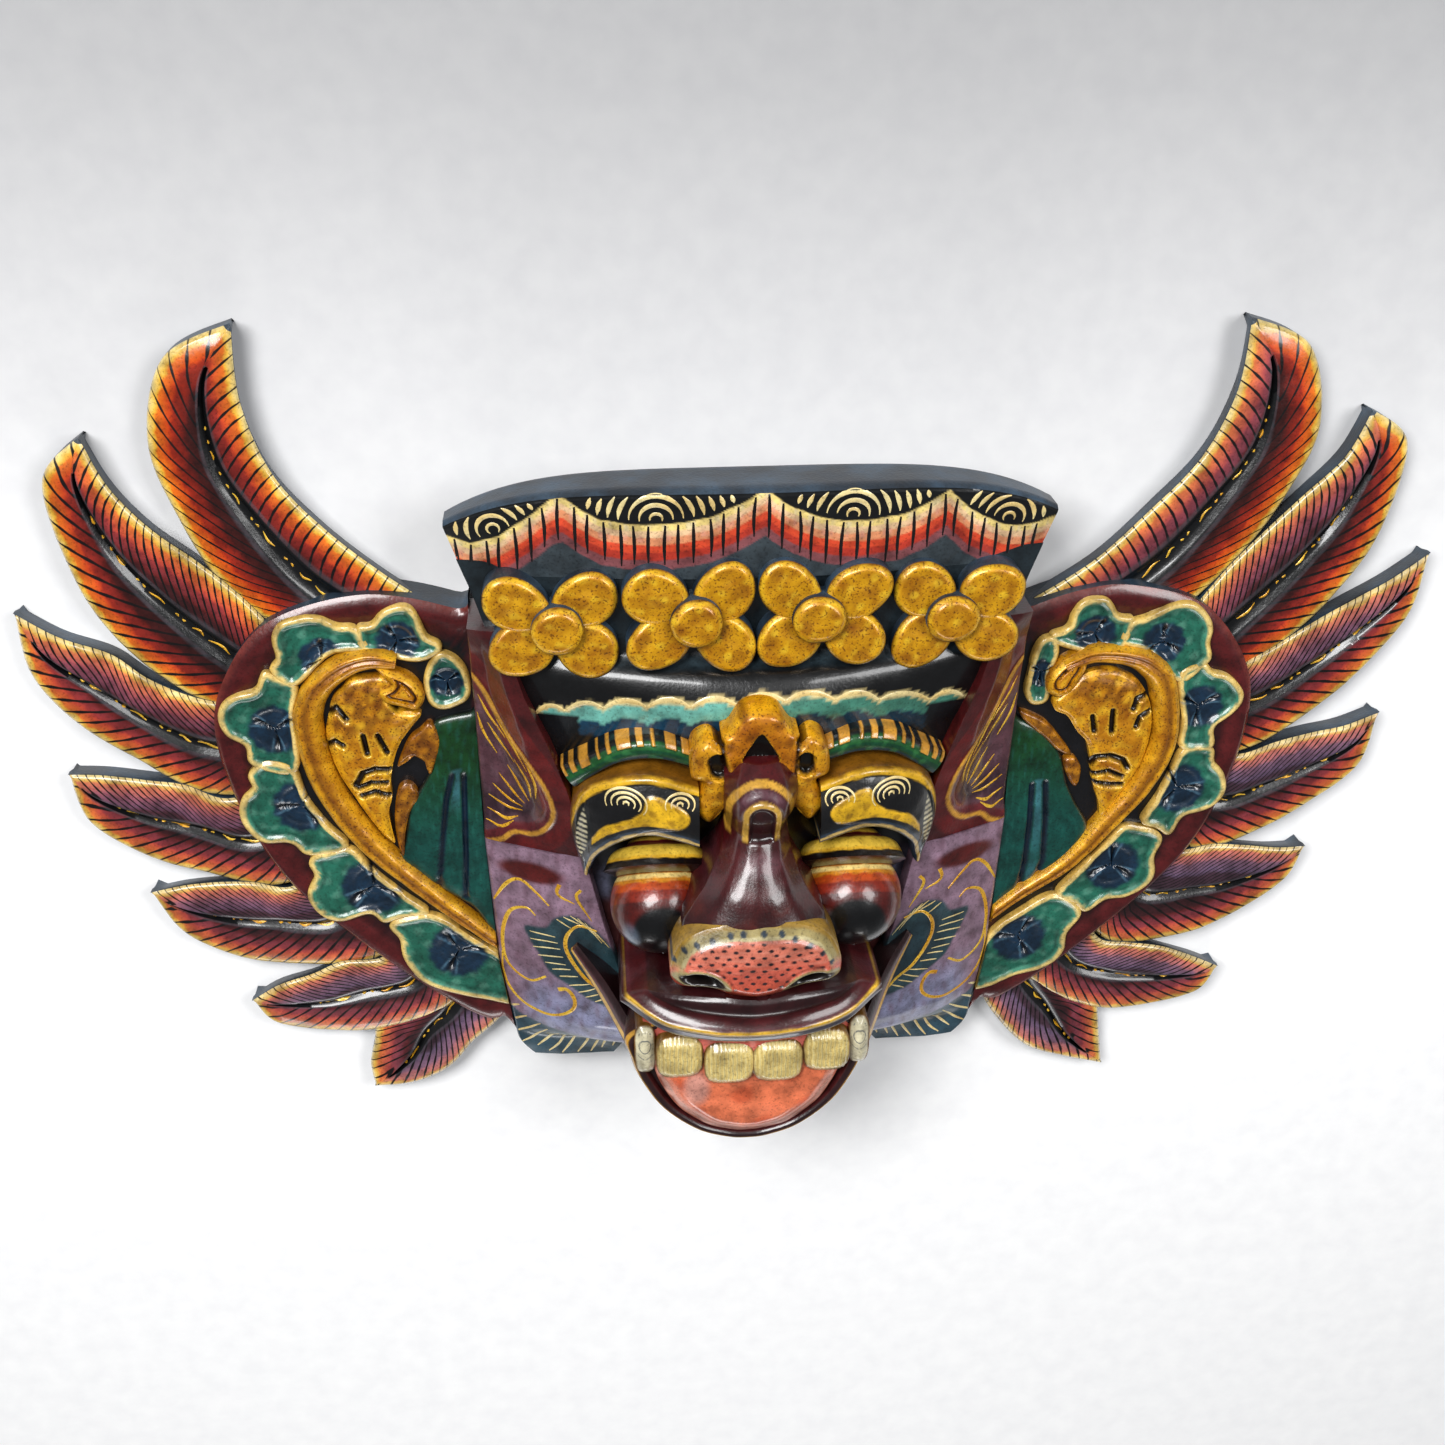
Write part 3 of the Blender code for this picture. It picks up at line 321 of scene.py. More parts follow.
feathers = {
    -1: [
        ([(120, 51), (144, 69), (166, 89), (184, 112), (193, 141), (193, 171)],
         [(186, 44), (209, 66), (223, 96), (230, 126), (220, 158), (193, 171)]),
        ([(190, 46), (203, 63), (218, 78), (234, 92), (247, 109), (255, 129)],
         [(208, 6), (234, 23), (255, 46), (267, 73), (272, 111), (255, 129)]),
        ([(206, 14), (225, 18), (243, 27), (257, 39), (276, 47), (292, 58)],
         [(204, -30), (231, -26), (254, -10), (275, 7), (290, 30), (292, 58)]),
        ([(204, -26), (221, -29), (236, -22), (251, -19), (268, -16), (283, -15)],
         [(184, -68), (207, -74), (233, -66), (256, -57), (278, -39), (283, -15)]),
        ([(184, -66), (199, -74), (213, -71), (227, -70), (243, -71), (258, -74)],
         [(154, -106), (170, -116), (202, -115), (225, -110), (247, -96), (258, -74)]),
        ([(156, -104), (163, -113), (180, -114), (194, -120), (209, -125), (222, -133)],
         [(124, -130), (138, -144), (163, -152), (183, -153), (212, -147), (222, -133)]),
        ([(107, -132), (111, -148), (125, -162), (137, -176), (154, -184), (172, -185)],
         [(150, -130), (159, -140), (168, -150), (170, -160), (173, -173), (172, -185)]),
    ],
    1: [
        ([(120, 51), (144, 67), (165, 88), (184, 110), (195, 137), (197, 166)],
         [(186, 44), (207, 67), (223, 94), (232, 122), (223, 154), (197, 166)]),
        ([(190, 46), (202, 63), (216, 79), (230, 94), (244, 109), (252, 128)],
         [(208, 6), (232, 27), (251, 49), (265, 75), (270, 113), (252, 128)]),
        ([(206, 14), (223, 23), (239, 34), (255, 44), (272, 54), (288, 66)],
         [(204, -30), (228, -22), (252, -4), (270, 15), (285, 39), (288, 66)]),
        ([(204, -26), (220, -26), (234, -21), (249, -17), (264, -14), (279, -8)],
         [(184, -68), (209, -75), (234, -66), (256, -52), (275, -34), (279, -8)]),
        ([(184, -66), (197, -74), (212, -72), (227, -73), (242, -75), (256, -75)],
         [(154, -106), (171, -123), (199, -122), (222, -114), (249, -94), (256, -75)]),
        ([(156, -104), (165, -120), (179, -123), (195, -126), (210, -132), (224, -139)],
         [(124, -130), (140, -147), (163, -159), (184, -161), (215, -154), (224, -139)]),
        ([(107, -132), (113, -151), (124, -168), (137, -181), (155, -188), (174, -193)],
         [(150, -130), (158, -141), (167, -152), (170, -166), (172, -180), (174, -193)]),
    ],
}


def featherPiece(node, side, number, upperLine, lowerLine):
    cut = {key: value[number - 1] for key, value in featherCut.items() if isinstance(value, tuple)}
    rows, columns = featherCut["rows"], featherCut["columns"]
    t = np.sin(0.5 * np.pi * np.linspace(0, 1, rows)) * 0.9985
    upper, lower = along(upperLine, t), along(lowerLine, t)
    spread = np.linspace(0.0, cut["veinEnd"], 60)
    vein = 0.52 * along(upperLine, spread) + 0.48 * along(lowerLine, spread)
    s = np.linspace(0, 1, columns)
    s = s - 0.035 * np.sin(2 * np.pi * s)         # closer rows at both edges
    top = upper[:, None] + (lower - upper)[:, None] * s[None, :, None]
    edge = gapTo(top, np.vstack([upper, lower[::-1]]))[0]
    edge[:, 0] = edge[:, -1] = 0
    away, run = gapTo(top, vein)
    veinRel = away / (cut["half"] * (1 - 0.88 * (run / run.max()) ** 1.3))
    over = 1.6 if number == 7 else 0.0
    high, low = featherCut["lip"] - over, featherCut["under"] - over
    z = high + (low - high) * s[None, :]
    z = z + 0.9 * ease(edge, 0, 7) - featherCut["edgeRound"] * (1 - ease(edge, -0.6, 1.4))
    z = z - featherCut["veinDepth"] * (1 - ease(veinRel, 0.35, 1.0)) - 0.25 * (1 - ease(veinRel, 0.9, 1.4))
    z = z + ripple(top, 6.0, 0.16, number)
    body = np.concatenate([top, z[..., None]], axis=-1)
    wallTop = body[:, [0, -1]].copy()
    wallTop[..., 2] -= 1.0
    across = lower - upper
    width = np.maximum(np.linalg.norm(across, axis=1), 1e-6)[:, None]
    lean = across / width * np.minimum(cut["backEdge"], 0.4 * width)
    root = 0.5 * (along(upperLine, [0.9]) + along(lowerLine, [0.9]))[0] - upper[-1]
    tip = ease(t, 0.975, 0.9985)[:, None]
    lean = lean * (1 - tip) + tip * featherCut["backTip"] * root / np.linalg.norm(root)
    foot = wallTop.copy()
    foot[..., 2] = 0.0
    foot[:, 0, :2] += lean
    foot[:, 1, :2] += lean * tip
    wallMid = 0.5 * (wallTop + foot)
    ring = np.concatenate([foot[:, :1], wallMid[:, :1], wallTop[:, :1], body, wallTop[:, 1:], wallMid[:, 1:],
                           foot[:, 1:]], axis=1)
    ring[..., 0] *= side
    count = ring.shape[1]
    order = np.tile(np.arange(count), rows - 1)
    isTop = (order >= 3) & (order < count - 4)
    isTop &= np.repeat(t[:-1] < cut["capFrom"], count)
    arc = np.r_[0, np.cumsum(np.linalg.norm(np.diff(0.5 * (upper + lower), axis=0), axis=1))]
    slant = np.where(s[None, :] < 0.5, 1.15, 0.95)
    dense = np.where(s[None, :] < 0.5, 1.45, 1.0)
    phase = (arc[:, None] + slant * edge + 0.012 * edge ** 2) * dense / cut["barb"]
    phase = phase + ripple(top, 9.0, 0.05, 2 * number)
    thick = (0.05 + 0.045 * ease(edge, 1.5, 5.0)) * (1 + 0.2 * np.sin(arc[:, None] * 0.9)) * dense ** 0.5
    thick = thick * (1 + 0.3 * (cut["barb"] < 7))

    def wrap(values, outer):
        block = np.full(ring.shape[:2], float(outer))
        block[:, 3:-3] = values
        return block

    # Pinker on the upper half of each feather and on the right wing: painted sheen and shade over the dusky
    # paint
    upperHalf = 1 - ease(s[None, :], 0.44, 0.52)
    duskAndSheen = cut["duskAndSheen"] * 0.35 + (0.15 * side + 0.20 + 0.75 * cut["duskAndSheen"]) * upperHalf
    duskAndSheen = np.clip(duskAndSheen, 0, 1)
    layers = {"edgeGap": wrap(edge, 0), "barb": wrap(phase, 0), "barbWidth": wrap(thick, -1),
              "vein": wrap(np.minimum(veinRel * 0.6, 1), 1), "duskAndSheen": wrap(duskAndSheen, 0)}
    ends = [list(range(count))[::-1], [(rows - 1) * count + k for k in range(count)]]
    if side < 0:
        ends = [end[::-1] for end in ends]
    faces = outward(ring, gridFaces(rows, count, loop=True)).tolist() + ends
    slots = np.r_[np.where(isTop, 0, 1), 1, 1]
    piece = meshPiece(f"{node}_feather_{number}", node, ring, faces, ["feather", "slate"], slots, layers)
    vein[:, 0] *= side
    return piece, vein


quills = {}
for side, node in ((-1, "wing_left"), (1, "wing_right")):
    for number, (upperLine, lowerLine) in enumerate(feathers[side], 1):
        quills[node, number] = featherPiece(node, side, number, upperLine, lowerLine)
print("feathers carved")


# Colours on the carved bodies, laid down point by point

def fill(shape, code):
    return np.tile(np.array(paint(code)), (*shape, 1))


def over(colours, code, amount):
    amount = np.clip(amount, 0, 1)[..., None]
    return colours * (1 - amount) + np.array(paint(code)) * amount


def bands(value, stops):
    # Flat bands of paint with edges about half a millimetre soft
    colours = fill(value.shape, stops[0][1])
    for start, code in stops[1:]:
        colours = over(colours, code, ease(value, start - 0.25, start + 0.25))
    return colours


def flip(points, side):
    turned = np.array(points, float)
    turned[..., 0] *= side
    return turned


def facingUp(points, quads):
    p = np.asarray(points, float).reshape(-1, 3)
    q = p[quads]
    area = np.cross(q[:, 2] - q[:, 0], q[:, 3] - q[:, 1])[:, 2].sum()
    return area > 0


def slabPiece(name, node, top, base, slots=("zones",), colour=None, bottom=None, layers=None):
    # A carved block: a shaped front, straight walls and a flat or given back
    rows, columns = top.shape[:2]
    count = rows * columns
    quads = gridFaces(rows, columns)
    index = np.arange(count).reshape(rows, columns)
    border = np.r_[index[0, :-1], index[:-1, -1], index[-1, :0:-1], index[:0:-1, 0]]
    ahead = np.roll(np.arange(len(border)), -1)
    if bottom is None:
        foot = top.reshape(-1, 3)[border].copy()
        foot[:, 2] = base
        low = count + np.arange(len(border))
        backs = [low[::-1].tolist()]
        own = border
    else:
        foot = bottom.reshape(-1, 3)
        low = count + border
        backs = (quads + count)[:, ::-1].tolist()
        own = np.arange(count)
    points = np.vstack([top.reshape(-1, 3), foot])
    walls = np.stack([border[ahead], border, low, low[ahead]], -1)
    faces = quads.tolist() + walls.tolist() + backs
    if not facingUp(top, quads):
        faces = [face[::-1] for face in faces]
    if colour is not None:
        colour = np.vstack([colour.reshape(-1, 4), colour.reshape(-1, 4)[own]])
    if layers is not None:
        layers = {key: np.r_[values.ravel(), values.ravel()[own]] for key, values in layers.items()}
    faceSlots = None
    if len(slots) > 1:
        faceSlots = np.r_[np.zeros(len(quads), int), np.ones(len(walls) + len(backs), int)]
    return meshPiece(name, node, points, faces, slots, faceSlots, layers, colour)


def leafPiece(name, node, outline, base, shape, slots=("zones",), colourOf=None, rings=20, centre=None,
              wallCode=None):
    # A raised leaf or button: rings from its outline in to its middle
    line = np.array(outline, float)
    count = len(line)
    middle = line.mean(axis=0) if centre is None else np.array(centre, float)
    scale = (1 - np.linspace(0, 1, rings, endpoint=False))[:, None, None]
    flat = middle + (line - middle)[None] * scale
    flat = np.concatenate([flat, np.broadcast_to(middle, (1, count, 2))])
    gap = gapTo(flat, line, closed=True)[0]
    gap[0] = 0
    top = np.concatenate([flat, shape(flat, gap)[..., None]], axis=-1)
    foot = top[:1].copy()
    foot[..., 2] = base
    ringPoints = np.concatenate([foot, top[:-1]])
    points = np.vstack([ringPoints.reshape(-1, 3), top[-1, :1]])
    quads = gridFaces(rings + 1, count, loop=True)
    last = rings * count
    fan = [[last + k, last + (k + 1) % count, (rings + 1) * count] for k in range(count)]
    faces = quads.tolist() + fan + [list(range(count))[::-1]]
    if not facingUp(ringPoints, quads[count:]):
        faces = [face[::-1] for face in faces]
    colour = None
    if colourOf is not None:
        painted = colourOf(top, gap)
        rim = painted[:1] if wallCode is None else fill((1, count), wallCode)
        colour = np.vstack([rim.reshape(-1, 4), painted[:-1].reshape(-1, 4), painted[-1, :1]])
    faceSlots = None
    if len(slots) > 1:
        faceSlots = np.r_[np.ones(count, int), np.zeros(len(quads), int), 1]
    return meshPiece(name, node, points, faces, slots, faceSlots, None, colour)


def treeOf(piece):
    mesh = piece.data
    spots = np.empty(len(mesh.vertices) * 3)
    mesh.vertices.foreach_get("co", spots)
    return BVHTree.FromPolygons(spots.reshape(-1, 3).tolist(),
                                [list(face.vertices) for face in mesh.polygons])


def strokes(name, node, slot, lines, onto, thick=0.14):
    # Brush strokes of thick paint, laid on the carving below them; each line is (points, widths)
    trees = [treeOf(piece) for piece in onto]
    points, faces = [], []
    for line, widths in lines:
        run = np.linalg.norm(np.diff(np.array(line, float), axis=0), axis=1).sum()
        count = max(5, int(run / 0.9))
        path = through(line, count)
        size = np.interp(np.linspace(0, 1, count), np.linspace(0, 1, len(widths)), widths)
        ahead = np.gradient(path, axis=0)
        ahead /= np.linalg.norm(ahead, axis=1)[:, None] + 1e-9
        normal = np.stack([-ahead[:, 1], ahead[:, 0]], -1)
        start = len(points)
        laidOut = []
        for p, n, w in zip(path, normal, size):
            spots = []
            for part, lift in ((-0.5, -0.12), (-0.32, thick), (0.0, 1.4 * thick), (0.32, thick),
                               (0.5, -0.12)):
                x, y = p + n * w * part
                above = [tree.ray_cast(Vector(((x + aside) * mm, (y + rise) * mm, 0.3)),
                                       Vector((0, 0, -1)))[0]
                         for tree in trees]
                above = [hit.z / mm for hit in above if hit is not None]
                spots.append([x, y, max(above) + lift if above else None])
            laidOut.append(spots)
        laidOut = [spots for spots in laidOut if all(spot[2] is not None for spot in spots)]
        if len(laidOut) < 3:
            continue
        for spots in laidOut:
            under = [spots[2][0], spots[2][1], spots[2][2] - 0.5]
            points.extend(spots + [under])
        faces.extend((gridFaces(len(laidOut), 6, loop=True) + start)[:, ::-1].tolist())
        end = start + 6 * (len(laidOut) - 1)
        faces.append([start + k for k in range(6)])
        faces.append([end + k for k in range(5, -1, -1)])
    return meshPiece(name, node, points, faces, [slot])


# Medallion of each wing, in mm out from the middle of the face; the points were read off the real
# outlines, turned into mm by a separate script and rounded to half mm, and the two wings differ

medallion = {
    "plate": 19.2, "lobe": 22.5, "leaf": 23.5, "scroll": 27.0,
    "edge": {
        -1: [(100, 46), (118, 57), (154, 64), (192, 53.5), (212, 30), (219, 3), (211, -37), (193, -73),
            (154, -115), (122, -141), (110, -143), (100, -134)],
        1: [(100, 40), (118, 50), (140, 57), (160, 58), (190, 49), (210, 26), (217, 0), (211, -39),
            (193, -77), (154, -118), (122, -143), (110, -145), (100, -136)],
    },
    "scrollLine": {
        -1: [(142.5, 36.5, 6), (150.5, 38, 9), (158.5, 37, 10), (166.5, 33, 10.5), (174, 26.5, 11),
            (179, 18, 12), (180.5, 6.5, 12.5), (176, -19, 12.5), (162, -46, 12), (139, -72, 10),
            (115, -95.5, 8), (108.5, -101, 7)],
        1: [(132.5, 25, 6), (138, 27.5, 7), (146, 29.5, 8), (159, 28, 9), (169, 23.5, 11), (176.5, 13.5, 12),
            (180, -12, 12), (172.5, -33, 12), (158, -53, 11), (142, -72, 9.5), (121.5, -87, 8),
            (107.5, -99, 7)],
    },
    "curl": {
        -1: [(152, 36), (144.5, 33.5), (137.5, 30), (133, 24), (132.5, 19.5), (135.5, 15.5), (140.5, 16.5),
            (148, 19), (150.5, 24), (146, 27), (146.5, 29)],
        1: [(141, 30.5), (134.5, 29.5), (129, 25), (125.5, 19.5), (126, 13.5), (130.5, 11), (136, 13),
            (139, 18.5), (141.5, 23.5)],
    },
    "innerLeaf": {
        -1: [(160.5, 29.5), (147.5, 30), (144.5, 24.5), (146, 20), (144, 14.5), (134.5, 13), (138.5, 7),
            (144, -0.5), (147.5, -9.5), (149.5, -19), (149.5, -26), (151.5, -33.5), (151, -43),
            (150, -48), (154, -44.5), (159.5, -35.5), (164.5, -25.5), (169.5, -15), (172.5, -4),
            (173.5, 5.5), (171.5, 14.5), (169.5, 21), (166, 24.5)],
        1: [(147.5, 22), (154, 22), (159.5, 20), (165.5, 16), (170.5, 8), (173, -1.5), (173, -10),
            (171.5, -20), (168, -29.5), (163.5, -37.5), (156, -49), (154, -42), (150.5, -32),
            (148.5, -22.5), (146, -12.5), (141, -6.5), (136, 1), (130.5, 4), (130, 9.5),
            (137.5, 16.5), (141.5, 20)],
    },
    "sideLeaf": {
        -1: [(108, 13), (114.5, 12), (127, 9.5), (130.5, 6.5), (133, -2.5), (132, -12), (138, -23.5),
            (142.5, -30.5), (146, -47.5), (149, -57), (143, -62.5), (133, -72), (120.5, -81.5),
            (107, -92.5)],
        1: [(109, 4), (116, 0), (125, -5), (132.5, -13.5), (136.5, -21), (139, -31), (143.5, -41),
            (150.5, -54), (148.5, -66.5), (140, -75.5), (129.5, -81), (118.5, -88.5), (107, -95.5)],
    },
    # Cuts in the inner leaf: points and width
    "slits": {
        -1: [([(171, 15), (168, 17), (164.5, 12)], 1.5),
            ([(173, 0), (170, 2), (167, 0)], 1.4),
            ([(158.5, 4), (157.5, -4)], 1.3),
            ([(152.5, 4), (149.5, -4)], 1.3),
            ([(163.5, -19), (160, -13), (155, -11.5), (149.5, -12.5)], 1.5),
            ([(162.5, -20), (157, -17.5), (151, -18.5)], 1.2),
            ([(161.5, -24), (156, -22), (150.5, -24.5)], 1.3),
            ([(147.5, 25), (147, 20), (144, 15)], 1.3)],
        1: [([(164, 4), (165, 8.5), (170, 10)], 1.5),
            ([(166, -4.5), (167, 0), (171, 2)], 1.4),
            ([(146.5, 1), (148, -6)], 1.3),
            ([(155, 3.5), (155.5, -6.5)], 1.3),
            ([(148, -23), (150, -19), (156, -18), (162, -20.5), (164.5, -24.5)], 1.5),
            ([(149, -27.5), (156, -25.5), (162.5, -28.5)], 1.2),
            ([(149, -31.5), (162.5, -32.5)], 1.3),
            ([(130.5, 11), (134, 14.5), (137, 17.5)], 1.3)],
    },
    "grooves": {
        -1: [[(124, -17), (127, -28), (130, -48), (133, -71)],
            [(119, -17), (119.5, -28.5), (120.5, -53), (122, -77)]],
        1: [[(123.5, -32), (124, -49.5), (123.5, -70), (121.5, -84)],
            [(129.5, -31), (131, -50), (131.5, -70), (128, -82)]],
    },
    "steps": {
        -1: [[(146.5, -22), (141.5, -20), (138.5, -26), (142.5, -33), (145.5, -44), (147, -55), (149, -47),
             (149, -34)],
            [(131, 8.5), (135.5, 5), (140, 1.5), (143.5, -5), (146, -12), (140.5, -7), (134.5, -10),
             (133, -16), (130, -9), (127.5, 0)]],
        1: [[(116, 4), (126.5, -1), (134.5, -10), (139.5, -17.5), (134, -16), (127, -9), (118, -1)],
            [(136.5, -21), (141, -19), (144.5, -25), (143.5, -33), (140.5, -31.5)]],
    },
}
# Lobes round the medallion: outline, middle of the dark heart and its size
lobes = {
    -1: [
        ([(155.5, 41), (156, 45.5), (159.5, 51.5), (165.5, 51.5), (169, 54.5), (174.5, 56), (180.5, 55),
         (186.5, 53), (189.5, 47.5), (188.5, 38.5), (191.5, 37), (191, 33.5), (183.5, 27.5),
         (168.5, 40)],
         (172, 38), 10),
        ([(155, 42), (156, 48.5), (155.5, 52), (150.5, 52), (147, 56.5), (142, 59), (138, 59.5), (134, 57),
         (130.5, 46.5), (127, 45), (125.5, 40.5), (135, 36.5), (148.5, 40)],
         (141.5, 44.5), 9.5),
        ([(184, 25), (191.5, 29), (196, 32), (198.5, 26.5), (200, 23.5), (205, 23), (211, 20.5), (214.5, 15),
         (214, 9), (211.5, 4.5), (205.5, 1), (205, -7), (188, -10.5), (186.5, 14)],
         (194, 7), 12),
        ([(188, -13.5), (194, -10), (201, -9.5), (207, -16), (204, -20), (208.5, -23), (211, -28), (211, -35),
         (207.5, -41.5), (203, -45), (193, -45), (189.5, -50.5), (184, -51), (171, -48), (178.5, -38),
         (185.5, -25.5)],
         (187, -29), 13.5),
        ([(168.5, -51.5), (176, -53), (183, -54), (186, -59), (183, -63.5), (186.5, -68.5), (187.5, -73.5),
         (185.5, -79), (181, -84), (175, -85.5), (163, -82), (160, -87.5), (151, -84.5), (140, -83.5),
         (150, -74), (160, -63.5)],
         (161, -70), 15),
        ([(138.5, -86.5), (147, -88), (153, -89.5), (154.5, -93), (150, -97.5), (150, -105), (147.5, -112),
         (143, -119), (136.5, -123), (126, -127), (115, -130), (106, -131.5), (106, -112.5),
         (110.5, -107.5), (122, -99), (130, -90.5)],
         (127, -105), 14.5),
        ([(125, 38.5), (119, 36), (115, 29), (115, 20), (120.5, 16), (126.5, 15), (130.5, 18.5),
          (131.5, 27.5),
         (129, 34)],
         (123, 26), 7.5),
    ],
    1: [
        ([(158, 33), (159, 39.5), (161, 43), (166, 44), (172, 47), (177, 49.5), (183.5, 49.5), (187.5, 47.5),
         (191.5, 43), (193.5, 37.5), (192.5, 32.5), (194.5, 27), (193, 24), (182.5, 16),
         (168.5, 29.5)],
         (174.5, 33), 10),
        ([(155.5, 31.5), (159, 42), (159.5, 45), (153.5, 45.5), (151, 49.5), (148, 53), (143, 53.5),
          (138, 52),
         (135, 47), (134, 41.5), (129.5, 40), (127, 38.5), (129, 35), (141, 31)],
         (145, 37.5), 9.5),
        ([(183.5, 15), (187, 19.5), (191, 21), (194.5, 21.5), (197, 17.5), (202.5, 16.5), (207.5, 12.5),
         (211, 7), (209.5, 1.5), (205, -3), (200.5, -7), (201.5, -16), (188, -15.5), (187.5, -3)],
         (193.5, 2.5), 11),
        ([(188, -20), (194, -18), (199, -18), (202.5, -20.5), (202, -25.5), (206.5, -29.5), (209, -37),
         (208, -41.5), (204.5, -46), (198, -48.5), (192.5, -50), (188.5, -59), (183, -55),
         (175.5, -52), (181, -40.5), (185, -30)],
         (189, -37), 13),
        ([(166, -56.5), (174, -57.5), (179.5, -59), (183.5, -63.5), (180.5, -71.5), (182, -79), (180.5, -84),
         (176, -88), (169.5, -91), (162.5, -91), (154.5, -97.5), (149.5, -92), (141, -88), (149, -77),
         (158, -66.5)],
         (163.5, -75), 13.5),
        ([(134.5, -91), (141.5, -91.5), (147, -95.5), (150, -101.5), (144, -110.5), (144.5, -117.5),
         (140.5, -124), (133, -128), (124, -130), (112.5, -135.5), (104.5, -135.5), (104.5, -127.5),
         (106.5, -116.5), (115, -105), (123.5, -98.5)],
         (124, -111), 13.5),
        ([(127.5, 36), (122.5, 35.5), (119.5, 29.5), (118.5, 22), (117.5, 13.5), (120.5, 8), (126, 8.5),
         (127.5, 13), (127, 20), (129.5, 29.5)],
         (123.5, 21), 7),
    ],
}


def seamLine(y):
    # The outer edge of ear and cheek, where the wing butts on
    return np.interp(y, [-160, -110, -45], [103.0, 109.5, 112.0])


def clearOfMask(piece, side):
    # The wing butts against the ear and cheek with a thin joint
    spots = np.empty(len(piece.data.vertices) * 3)
    piece.data.vertices.foreach_get("co", spots)
    spots = spots.reshape(-1, 3)
    wall = seamLine(spots[:, 1] / mm - rise) + 0.35
    near = side * (spots[:, 0] / mm - aside) < wall
    spots[near, 0] = (side * wall[near] + aside) * mm
    piece.data.vertices.foreach_set("co", spots.ravel())
    piece.data.update()


